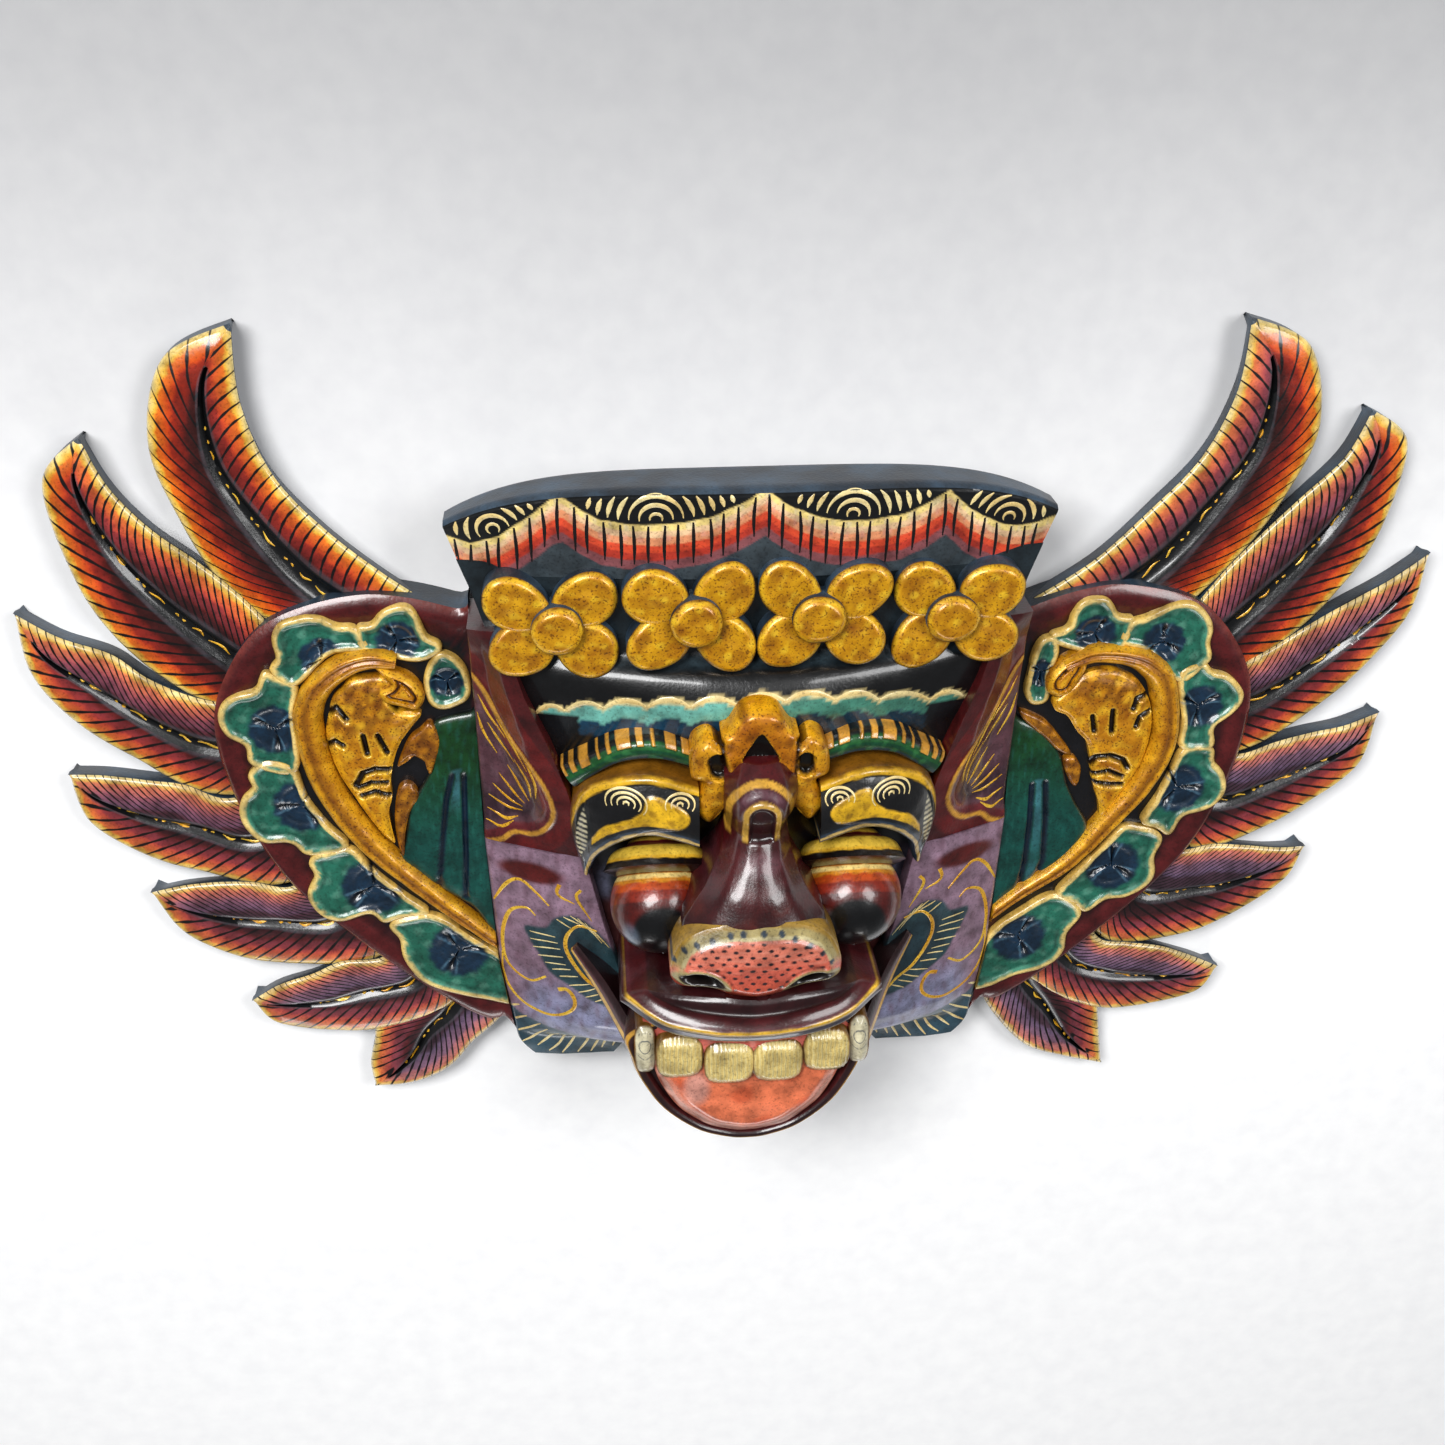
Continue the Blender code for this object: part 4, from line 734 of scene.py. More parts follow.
def medallionPieces(side, node):
    made = []
    plate = flip(through(medallion["edge"][side], 220, closed=True), side)

    def plateShape(p, gap):
        return medallion["plate"] + 0.8 * ease(gap, 0, 2) - 1.6 * (1 - ease(gap, -0.8, 1.6)) \
            - 1.5 * ease(gap, 7, 10) + ripple(p, 5, 0.15)

    def plateColour(p, gap):
        # A lighter red band on the outer 1.2 mm of the rim is a painted highlight; inside it maroon, darker
        # maroon, then black
        return bands(gap + ripple(p, 3, 0.5), [(0, "#7A3028"), (1.2, "#541214"), (10.5, "#3A0C10"),
                                               (15.0, "#0B0B10")])

    made.append(leafPiece(node + "_plate", node, plate, 0.0, plateShape, ("zones", "slate"), plateColour,
                          rings=30))
    for number, (outline, heart, size) in enumerate(lobes[side], 1):
        line = through(outline, 130, closed=True)
        line = sum(np.roll(line, k, axis=0) for k in range(-3, 4)) / 7
        line = flip(line.mean(axis=0) + 1.10 * (line - line.mean(axis=0)), side)
        core = flip(heart, side)

        def lobeShape(p, gap):
            far = np.linalg.norm(p - core, axis=-1)
            groove = np.abs(np.sin(far * 0.95))
            z = medallion["lobe"] - 1.2 * (1 - ease(gap, -0.5, 1.3)) - 1.3 * ease(gap, 1.8, 4.5)
            z = z - 1.0 * (1 - ease(far, size * 0.55, size * 0.85))
            turn = np.arctan2(p[..., 1] - core[1], side * (p[..., 0] - core[0]))
            cut = (1 - ease(np.abs(np.sin(1.5 * turn + 0.8 * number)), 0.0,
                            0.35)) * (1 - ease(far, size * 0.5, size))
            return z - 1.4 * cut - 0.25 * groove * ease(gap, 2, 4) + ripple(p, 2.5, 0.12)

        def lobeColour(p, gap):
            flat = p[..., :2]
            far = np.linalg.norm(flat - core, axis=-1) + ripple(p, 2.2, 1.0, number)
            uneven = gap + ripple(p, 2.0, 0.35, number)
            colours = bands(uneven, [(0, "#E4BC5C"), (0.9, "#F4D684"), (2.3, "#3E8A70"), (3.9, "#226A56")])
            colours = over(colours, "#5E9A84", 0.55 * ease(ripple(flat, 3.0, 1.0, 5 + number), 0.1, 0.6)
                           * ease(gap, 2.2, 3.0))
            colours = over(colours, "#0E2C44", ease(-far, -size, -size * 0.82) * ease(gap, 2.0, 2.6))
            turn = np.arctan2(flat[..., 1] - core[1], side * (flat[..., 0] - core[0]))
            cut = np.abs(np.sin(1.5 * turn + 0.8 * number))
            inside = 1 - ease(far, size * 0.7, size * 0.95)
            colours = over(colours, "#050A12", (1 - ease(cut, 0.05, 0.22)) * inside)
            # A pale blue line beside each dark cut in the heart is a painted highlight on the cut's edge
            cutHighlight = (1 - ease(np.abs(cut - 0.40), 0.03, 0.12)) * inside * ease(far, size * 0.2, size * 0.45)
            return over(colours, "#5C86A0", 0.6 * cutHighlight)

        made.append(leafPiece(f"{node}_lobe_{number}", node, line, 8.0, lobeShape, ("zones",), lobeColour,
                              rings=18, wallCode="#5A3A14"))

    line = through(medallion["scrollLine"][side], 170)
    line, width = line[:, :2], line[:, 2]
    ahead = np.gradient(line, axis=0)
    ahead /= np.linalg.norm(ahead, axis=1)[:, None]
    normal = np.stack([-ahead[:, 1], ahead[:, 0]], -1)
    s = np.linspace(-1, 1, 30)
    flat = line[:, None] + normal[:, None] * (0.5 * width[:, None, None] * s[None, :, None])
    high = medallion["scroll"] - 2.2 * np.linspace(0, 1, 170)[:, None]
    z = high - 5.5 * np.abs(s[None]) ** 3.2 - 0.9 * (1 - ease(np.abs(s[None] - 0.15), 0.0, 0.35))
    z = z + ripple(flat, 4, 0.25)
    top = flip(np.concatenate([flat, z[..., None]], -1), side)
    tone = np.abs(s[None] - 0.1 * np.sin(np.linspace(0, 9, 170))[:, None])
    colours = bands(tone + ripple(flat, 3, 0.08), [(0, "#B07818"), (0.35, "#E8AE18"), (0.62, "#F2C23A"),
                                                   (0.93, "#C08A1C")])
    colours = over(colours, "#8A540E", 0.4 * ease(ripple(flat, 6, 1.0, 3), 0.2, 0.6))
    made.append(slabPiece(node + "_scroll", node, top, 10.0, ("goldZones",), colours))
    curl = flip(through(medallion["curl"][side], 110, closed=True), side)

    def curlShape(p, gap):
        return 26.4 - 3.6 * (1 - ease(gap, -1.5, 3.0)) - 1.6 * (1 - ease(np.abs(gap - 3.6), 0.3, 1.1)) \
            + ripple(p, 3, 0.2)

    def curlColour(p, gap):
        return bands(gap + ripple(p, 2.5, 0.4), [(0, "#C08A1C"), (0.6, "#F2C23A"), (2.2, "#DCA01A"),
                                                 (3.1, "#6A3E0C"), (4.2, "#D79A1E"), (5.6, "#EDBB34")])

    made.append(leafPiece(node + "_curl", node, curl, 10.0, curlShape, ("goldZones",), curlColour, rings=22))

    inner = flip(through(medallion["innerLeaf"][side], 190, closed=True), side)
    cuts = [(flip(line, side), wide) for line, wide in medallion["slits"][side]]

    def slitGap(p):
        gaps = [gapTo(p, line)[0] / w for line, w in cuts]
        return np.min(gaps, axis=0)

    def innerShape(p, gap):
        z = medallion["leaf"] + 1.2 * ease(gap, 0, 8) - 1.6 * (1 - ease(gap, -0.5, 2.0))
        return z - 2.2 * (1 - ease(slitGap(p), 0.3, 1.3)) + ripple(p, 3, 0.3)

    def innerColour(p, gap):
        cap = ease(p[..., 1] + 0.3 * side * (p[..., 0] - side * 150), -2, 16)
        colours = bands(gap + ripple(p, 2.5, 0.5), [(0, "#F0BE34"), (1.6, "#ECB41A"), (3.4, "#D09414")])
        colours = over(colours, "#F2C63C", 0.7 * ease(ripple(p, 3.5, 1.0, 2), 0.0, 0.6))
        colours = over(colours, "#7A4A12", 0.75 * cap * ease(ripple(p, 3.0, 1.0, 5), -0.6, 0.3))
        colours = over(colours, "#E8A828", 0.8 * cap * ease(ripple(p, 2.2, 1.0, 8), 0.3, 0.7))
        edge = slitGap(p)
        colours = over(colours, "#F6D050", 0.8 * (1 - ease(edge, 1.2, 1.9)))
        return over(colours, "#1E0E04", 1 - ease(edge, 0.7, 1.1))

    made.append(leafPiece(node + "_inner_leaf", node, inner, 10.0, innerShape, ("goldZones",), innerColour,
                          rings=38, centre=flip((155, -6), side)))
    leaf = flip(through(medallion["sideLeaf"][side], 150, closed=True), side)
    grooves = [flip(line, side) for line in medallion["grooves"][side]]

    def grooveGap(p):
        return np.min([gapTo(p, groove)[0] for groove in grooves], axis=0)

    def sideShape(p, gap):
        z = medallion["lobe"] - 1.0 + 0.9 * ease(gap, 0, 6) - 1.4 * (1 - ease(gap, -0.5, 1.6))
        return z - 1.3 * (1 - ease(grooveGap(p), 0.3, 1.6)) + ripple(p, 5, 0.12)

    def sideColour(p, gap):
        y = p[..., 1]
        colours = over(fill(gap.shape, "#083C14"), "#064840", ease(-y, 5, 55))
        colours = over(colours, "#1E6458", 0.35 * ease(ripple(p * np.array([4.0, 0.6, 1.0]), 3, 1.0, 4), 0.1,
                                                       0.7))
        colours = over(colours, "#0A2236", 1 - ease(grooveGap(p), 0.8, 1.8))
        between = np.sum([gapTo(p, groove)[0] for groove in grooves], axis=0)
        colours = over(colours, "#3E7A84", 0.8 * (1 - ease(between, 6.6, 8.5)) * ease(grooveGap(p), 1.6, 2.2))
        return over(colours, "#0C1418", 1 - ease(gap, 0.4, 1.2))

    made.append(leafPiece(node + "_side_leaf", node, leaf, 8.0, sideShape, ("zones",), sideColour, rings=32,
                          centre=flip((122, -40), side)))
    for number, outline in enumerate(medallion["steps"][side], 1):
        step = flip(through(outline, 60, closed=True), side)

        def stepShape(p, gap):
            return medallion["leaf"] - 0.6 - 1.4 * (1 - ease(gap, -0.5, 1.2)) + ripple(p, 2, 0.2)

        def stepColour(p, gap):
            return over(fill(gap.shape, "#8A5A18"), "#C48A24", ease(ripple(p, 2.5, 1.0, 2), -0.2, 0.6))

        made.append(leafPiece(f"{node}_step_{number}", node, step, 14.0, stepShape, ("goldZones",),
                              stepColour,
                              rings=10))
    for piece in made:
        clearOfMask(piece, side)
    rows = np.linspace(-136, 38, 60)
    tongue = np.stack(np.meshgrid(rows, np.array([100.0, 113.0]), indexing="ij"), -1)[..., ::-1]
    tongue = flip(np.concatenate([tongue, np.full((60, 2, 1), 9.9)], -1), side)
    slabPiece(node + "_tongue", node, tongue, 0.0, ("bareBack",))


for side, node in ((-1, "wing_left"), (1, "wing_right")):
    medallionPieces(side, node)
print("medallions carved")


# Mask: tables of heights as in the solid, each row (y, reach, heights from inside out), all in mm

head = {
    "rows": [
        (86, 112, 53, 52, 50, 47, 44, 40), (72, 107, 50, 50, 49, 47, 44, 40),
        (58, 103, 48, 48, 47, 46, 44, 40), (45.5, 100, 48, 48, 47, 46, 44, 40),
        (43, 99, 57, 57, 55, 52, 47, 42), (35, 96, 62, 61, 58, 54, 48, 42), (27, 93, 64, 63, 59, 54, 48, 42),
        (14, 88, 60, 59, 56, 52, 46, 41), (2, 84, 66, 60, 55, 50, 44, 39), (-12, 80, 72, 60, 52, 46, 42, 38),
        (-28, 78, 78, 60, 46, 42, 40, 37), (-44, 77, 82, 60, 44, 42, 40, 36),
        (-60, 77, 84, 66, 48, 42, 38, 34), (-76, 77, 84, 76, 56, 44, 38, 33),
        (-92, 78, 84, 80, 60, 46, 38, 32), (-108, 77, 78, 76, 58, 44, 36, 30),
        (-124, 70, 66, 64, 52, 40, 32, 26), (-140, 56, 44, 42, 38, 32, 26, 20)],
    "ears": [
        (58, 98, 45, 45, 44, 42), (46, 95, 48, 46, 40, 36), (30, 90, 50, 47, 38, 33),
        (10, 82, 51, 46, 36, 31), (-12, 75, 50, 44, 34, 29), (-30, 71, 48, 42, 33, 27),
        (-45, 70, 46, 40, 33, 26)],
    "cheeks": [
        (-43, 70, 44, 41, 34, 26), (-80, 62, 46, 43, 34, 24), (-110, 54, 47, 43, 34, 22),
        (-135, 49, 46, 41, 33, 21), (-147, 50, 40, 35, 28, 20), (-151, 51, 24, 24, 23, 20),
        (-163, 60, 22, 22, 22, 20)],
    "scallops": [(-87, 22), (-75, 24.5), (-60, 28), (-43, 30), (-26, 31), (-8, 32), (11, 33), (31, 31.5),
                 (49, 29), (71, 24.5), (86, 23)],
    "hollow": (62, 92, -20, 34),          # half width, half length, middle y, depth of the scooped back
    "earLine": [(-116, 39), (-108, 30), (-99, 11), (-88, -6), (-83, -17), (-82, -26), (-86, -34), (-92, -38),
                (-99, -39), (-105, -44), (-113, -47)],
    "rebate": 10.3, "tongueEdge": 99.7,
}


def heightsAt(table, y):
    rows = np.array(sorted(table), float)
    return [np.interp(y, rows[:, 0], rows[:, k]) for k in range(1, rows.shape[1])]


def soften(z, times):
    for _ in range(times):
        z = np.concatenate([z[:1], 0.25 * z[:-2] + 0.5 * z[1:-1] + 0.25 * z[2:], z[-1:]])
        z = np.concatenate([z[:, :1], 0.25 * z[:, :-2] + 0.5 * z[:, 1:-1] + 0.25 * z[:, 2:], z[:, -1:]],
                           axis=1)
    return z


def within(points, polygon):
    x, y = points[..., 0], points[..., 1]
    inside = np.zeros(x.shape, bool)
    for (x1, y1), (x2, y2) in zip(polygon, np.roll(polygon, -1, axis=0)):
        crosses = (y1 > y) != (y2 > y)
        inside ^= crosses & (x < (x2 - x1) * (y - y1) / (y2 - y1 + 1e-12) + x1)
    return inside


def inset(points, outline):
    # How far each point lies inside a closed outline, negative outside
    gap = gapTo(points, outline, closed=True)[0]
    return np.where(within(points, outline), gap, -gap)


def bottomOf(top):
    x, y = top[..., 0], top[..., 1]
    halfWidth, halfLength, middle, deep = head["hollow"]
    out = np.sqrt((x / halfWidth) ** 2 + ((y - middle) / halfLength) ** 2)
    z = deep * np.sqrt(np.clip(1 - out ** 3.2, 0, 1))
    z = np.where(np.abs(x) > head["tongueEdge"], head["rebate"], z)
    low = top.copy()
    low[..., 2] = np.minimum(z, top[..., 2] - 3)
    return low


def headPiece():
    y = np.linspace(86, -140, 150)
    top = np.zeros((150, 150, 3))
    for i, level in enumerate(y):
        reach, *heights = heightsAt(head["rows"], level)
        x = np.linspace(-reach - 2, reach + 2, 150)
        top[i, :, 0], top[i, :, 1] = x, level
        top[i, :, 2] = np.interp(np.abs(x) / reach, np.linspace(0, 1, 6), heights)
    top[..., 2] = soften(top[..., 2], 4)
    x, y = top[..., 0], top[..., 1]
    joints = np.array(head["scallops"], float)
    base = np.interp(x, joints[:, 0], joints[:, 1])
    share = np.interp(x, joints[:, 0], np.arange(len(joints)))
    arc = base + 3.4 * (1 - (2 * (share % 1) - 1) ** 2)
    below = arc - y + ripple(top, 4, 0.25)
    right = ease(x, -30, 30)
    colours = bands(below, [(-60, "#08090B"), (0, "#F2DC98"), (2.6, "#78C6B8"), (9.5, "#12405C"),
                            (16.5, "#0A1216")])
    teal = ease(below, 2.5, 3.0) * (1 - ease(below, 9.2, 9.8))
    colours = over(colours, "#2F6E56", teal * right * 0.8)
    colours = over(colours, "#0E2632", ease(below, 9.4, 9.9) * (1 - ease(below, 16.2, 17)) * right * 0.7)
    colours = over(colours, "#1B262C", (y > 43.5).astype(float))
    # A slate band along the ledge's edge at y 46 is a painted highlight
    colours = over(colours, "#3A4A52", (y > 43.5) * (1 - ease(np.abs(y - 46), 0.6, 1.5)))
    colours = over(colours, "#0A1014", ((np.abs(x) > 70) & (y < 22) & (y > -40)).astype(float))
    colours = over(colours, "#44201F", ease(-y, 62, 74))
    colours = over(colours, "#5A5C70", (1 - ease(np.abs(y + 60), 6, 13)) * ease(np.abs(x), 58, 62)
                   * (1 - ease(np.abs(x), 70, 73)))
    colours = over(colours, "#2A0A0C", ease(-y, 96, 104))
    return slabPiece("mask_head", "mask", top, 0.0, ("zones", "bareBack"), colours, bottomOf(top))


def sidePiece(name, side, table, levels, columns, colourOf, dip=None):
    top = np.zeros((len(levels), columns, 3))
    for i, level in enumerate(levels):
        start, *heights = heightsAt(table, level)
        edge = seamLine(level)
        if level < -152:
            edge -= 6 * ((-152 - level) / 11) ** 2
        x = np.linspace(start, edge, columns)
        top[i, :, 0], top[i, :, 1] = -x, level
        top[i, :, 2] = np.interp(np.linspace(0, 1, columns), np.linspace(0, 1, len(heights)), heights)
    top[..., 2] = soften(top[..., 2], 3)
    if dip is not None:
        top[..., 2] -= dip(top)
    top[..., 2] += ripple(top, 5, 0.2)
    top[:, [0, -1], 2] -= 1.0
    colours = colourOf(top)
    top[..., 0] *= -side
    low = bottomOf(top)
    return slabPiece(name, "mask", top, 0.0, ("zones",), colours, low)


def earPieces():
    line = through(head["earLine"], 90)
    hull = np.vstack([line, [[-140, -47], [-140, 39]]])

    def signed(p):
        gap = gapTo(p, line)[0]
        return np.where(within(p, hull), gap, -gap)

    def dip(p):
        far = signed(p)
        low = 1 - ease(p[..., 1], -34, 20)
        return 3.5 * ease(far, 1.5, 9) * (0.35 + 0.65 * low) - 0.5 * (1 - ease(np.abs(far), 0.3, 1.5))

    def colourOf(p):
        far = signed(p) + ripple(p, 5, 0.2)
        colours = bands(-far, [(-200, "#5E3A44"), (-4.6, "#6A2026"), (-1.2, "#D79C34"), (0.9, "#641212"),
                               (9.0, "#4A0E10")])
        colours = over(colours, "#3E2430", ease(far, 5, 9) * (1 - ease(p[..., 1], -30, -6)))
        # Lilac streaks inside the ear are a painted sheen
        return over(colours, "#7A5E68", 0.35 * ease(ripple(p * np.array([3.0, 0.6, 1]), 4, 1.0), 0, 0.8)
                    * ease(far, 5, 6))

    made = []
    for side in (-1, 1):
        made.append(sidePiece(f"mask_ear_{'left' if side < 0 else 'right'}", side, head["ears"],
                              np.linspace(58, -45, 130), 56, colourOf, dip))
    return made


cheekZones = {
    "moustache": [(-97, -86), (-88, -84), (-84, -78), (-77, -75), (-69, -79), (-60, -90), (-55, -100),
                  (-52, -112), (-58, -122), (-66, -121), (-72, -118), (-79, -113), (-87, -108), (-91, -100),
                  (-95, -93)],
    "fringe": [(-112, -127), (-108, -132), (-102, -138), (-91, -142), (-78, -145), (-62, -146), (-45, -147)],
}


def cheekPieces():
    patch = through(cheekZones["moustache"], 100, closed=True)
    fringe = np.array(cheekZones["fringe"], float)

    def colourOf(p):
        x, y = p[..., 0], p[..., 1]
        colours = over(fill(x.shape, "#9A7C90"), "#989ABC", ease(-y, 104, 128) * ease(x, -104, -92))
        colours = over(colours, "#735060", 0.6 * ease(ripple(p * np.array([2.0, 0.7, 1]), 5, 1.0), 0, 0.7))
        colours = over(colours, "#5A1412", 1 - ease(np.hypot((x + 93) / 15, (y + 57) / 5.5), 0.7, 1.15))
        gap = inset(p, patch)
        colours = over(colours, "#2E4A52", ease(gap, -0.8, 0.6))
        colours = over(colours, "#182A34", ease(gap, 3, 9) * 0.6)
        low = np.interp(x, fringe[:, 0], fringe[:, 1]) - y
        return over(colours, "#31505F", ease(low, -0.6, 0.6))

    made = []
    for side in (-1, 1):
        made.append(sidePiece(f"mask_cheek_{'left' if side < 0 else 'right'}", side, head["cheeks"],
                              np.linspace(-45.3, -163, 120), 64, colourOf))
    return made


crown = {
    "half": 118.0, "top": 117.0, "drop": 15.0, "foot": 80.0, "footHalf": 112.0, "front": 58.0, "side": 43.0,
    "lip": 30.0, "slope": 16.0,
    "scallops": [(-119, 97.5), (-116, 96.5), (-108, 93.5), (-97, 97), (-85, 106), (-77, 113), (-73, 114.5),
                 (-66, 109), (-59, 105), (-49, 103.3), (-38, 103), (-28, 104), (-18, 106), (-7, 111),
                 (3, 117), (9, 112), (14, 109), (23, 105), (32, 103), (41, 102.5), (56, 104), (66, 108.5),
                 (73, 113), (78, 108), (82, 104), (90, 99.5), (97, 96), (104, 95), (111, 96), (119, 98.5)],
}


def crownRim(f):
    # Height of the top edge at f from -1 to 1 across the crown
    return crown["top"] - crown["drop"] * np.abs(f) ** 4.5


def crownPiece():
    f = np.linspace(-1, 1, 260)
    rim = crownRim(f)
    front = crown["front"] + (crown["side"] - crown["front"]) * f * f
    share = [np.linspace(0, 1, 8), np.linspace(0, 1, 14), np.linspace(0, 1, 62), np.linspace(0, 1, 3)]
    profile = []
    for s in share[0]:
        profile.append((rim - crown["slope"] * (1 - s), crown["lip"] * s + 0 * f, 0.0))
    for s in share[1][1:]:
        rounding = 1.6 * ease(s, 0.82, 1.0) ** 2
        profile.append((rim - rounding, crown["lip"] + (front - 0.4 - crown["lip"]) * s, 0.0))
    for s in share[2][1:]:
        y = rim - 1.6 + (crown["foot"] - rim + 1.6) * s
        profile.append((y, front - 5 * s + 0.5 * ease(s, 0, 0.05) - 0.5, s))
    for s in share[3][1:]:
        profile.append((crown["foot"] + 0 * f, (front - 5.5) * (1 - s), 1.0))
    rows = []
    for y, z, v in profile:
        half = crown["half"] + (crown["footHalf"] - crown["half"]) * v
        low = np.clip(1 - z / crown["lip"], 0, 1)
        back = (1 - 0.04 * np.abs(f) ** 3) if v == 0.0 else 1.0
        back = 1 + (back - 1) * low
        rows.append(np.stack([half * f * back, y - 6 * np.abs(f) ** 3 * (1 - v) * low, z], -1))
    ring = np.array(rows).transpose(1, 0, 2)
    frontZone = np.array([v for _, _, v in profile]) > 0
    ring[..., 2] += ripple(ring, 7, 0.18) * frontZone[None, :]
    x, y = ring[..., 0], ring[..., 1]
    line = np.array(crown["scallops"], float)
    below = np.interp(x, line[:, 0], line[:, 1]) - y + ripple(ring, 4, 0.3)
    streak = ripple(ring * np.array([3.0, 0.5, 1]), 4, 1.0, 3)
    colours = bands(below, [(-60, "#090C0E"), (0, "#FBE08A"), (2.8, "#F8D0A0"), (5.4, "#F4A070"),
                            (8.6, "#E8502E"), (11.8, "#C23A28"), (15.0, "#8C5054"), (19.0, "#3C464C")])
    colours = over(colours, "#F0A890", 0.7 * ease(below, 4.2, 4.8) * (1 - ease(below, 7.0, 7.8))
                   * ease(streak, -0.1, 0.5))
    colours = over(colours, "#E8DCC0", 0.5 * ease(below, 0.2, 0.6) * (1 - ease(below, 2.6, 3.2))
                   * ease(streak, 0, 0.5))
    strip = np.tile(np.arange(len(profile)), len(f) - 1)
    slots = np.where(frontZone[strip] | np.roll(frontZone, -1)[strip], 0, 1)
    slots = np.r_[slots, 1, 1]
    return meshPiece("mask_crown", "mask", ring, capped(ring), ["zones", "slate"], slots, colour=colours)


def ellipse(cx, cy, rx, ry, turn=0.0, count=84, wobble=0.0, seed=0):
    a = np.linspace(0, 2 * np.pi, count, endpoint=False)
    r = 1 + wobble * np.sin(2 * a + seed) + 0.6 * wobble * np.sin(3 * a + 2 * seed)
    u, v = rx * r * np.cos(a), ry * r * np.sin(a)
    return np.stack([cx + u * math.cos(turn) - v * math.sin(turn),
                     cy + u * math.sin(turn) + v * math.cos(turn)], -1)


flowers = {
    "x": (23.5, 76.5), "y": (65.5, 62.0), "petals": [(15.5, 9.5), (-11, 10.5), (14, -9), (-11, -10)],
    "petal": 60.0, "eye": 64.0, "petalSize": (13.3, 11.2), "eyeSize": 10.3, "ground": 41.0,
}


def flowerPieces():
    for side in (-1, 1):
        for number, (x, y) in enumerate(zip(flowers["x"], flowers["y"])):
            sink = 5 * number
            cx, cy = side * x, y
            label = f"mask_flower_{'left' if side < 0 else 'right'}_{number + 1}"
            for k, (out, up) in enumerate(flowers["petals"]):
                px, py = cx + side * out, cy + up
                turn = math.atan2(up, side * out)
                line = ellipse(px, py, *flowers["petalSize"], turn, 84, 0.04, k + 3 * number + side)
                high = flowers["petal"] - sink - 0.4 * k
                away = np.array([px - cx, py - cy]) / math.hypot(px - cx, py - cy)

                def petalShape(p, gap):
                    lean = ((p[..., :2] - np.array([px, py])) @ away) * 0.06
                    return high - 2.8 * (1 - ease(gap, -1.4, 2.6)) + lean + ripple(p, 4, 0.28, k) \
                        - 0.5 * (1 - ease(gap, 5, 12))

                leafPiece(f"{label}_petal_{k + 1}", "mask", line, flowers["ground"] - sink, petalShape,
                          ("goldZones", "slate"), goldButton, rings=16)
            line = ellipse(cx, cy, flowers["eyeSize"], flowers["eyeSize"] * 0.95, 0, 84, 0.02, side)

            def eyeShape(p, gap):
                return flowers["eye"] - sink - 3.2 * (1 - ease(gap, -1.6, 3.2)) + ripple(p, 4, 0.3, number)

            leafPiece(f"{label}_middle", "mask", line, flowers["ground"] - sink, eyeShape,
                      ("goldZones", "slate"),
                      goldButton, rings=16)


def goldButton(p, gap):
    colours = bands(gap + ripple(p, 2.5, 0.4), [(0, "#8A6210"), (0.5, "#F4CC38"), (1.6, "#E4B01A"),
                                                (3.0, "#D2A012")])
    colours = over(colours, "#A87410", 0.7 * ease(ripple(p, 4.5, 1.0, 1), 0.0, 0.6) * ease(gap, 1.5, 3))
    return over(colours, "#F8D848", 0.6 * ease(ripple(p, 3.2, 1.0, 6), 0.25, 0.7))


def ribbonBetween(first, second, rows, columns, bulge, side=1):
    a, b = through(first, rows), through(second, rows)
    s = np.linspace(0, 1, columns)[None, :, None]
    top = a[:, None] * (1 - s) + b[:, None] * s
    top[..., 2] += bulge * np.sin(np.pi * s[..., 0])
    top[..., 0] *= side
    return top


brow = {
    "upper": [(24, 1, 73), (43, 6, 71), (60, 2, 66), (71, -7, 60), (75, -25, 54), (71, -50, 47)],
    "lower": [(24, -25, 76), (42, -20, 74), (54, -24, 70), (61, -31, 64), (65, -38, 58), (68, -51, 47)],
    "field": [(29, -8), (42.5, -1.5), (47, -9), (55, -14), (62, -18), (68, -30), (66, -44), (63, -38),
              (57, -27), (50, -21), (42, -17), (30, -15)],
    "shell": [(69, -10), (73, -20), (74, -32), (71, -42), (68, -34), (67, -20)],
    "leafUpper": [(26, 14, 63), (40, 19, 63), (55, 17, 61), (68, 8, 57), (78, 1, 52)],
    "leafLower": [(26, 5, 64), (40, 9, 64), (54, 7, 62), (64, 0, 58), (72, -8, 53)],
}


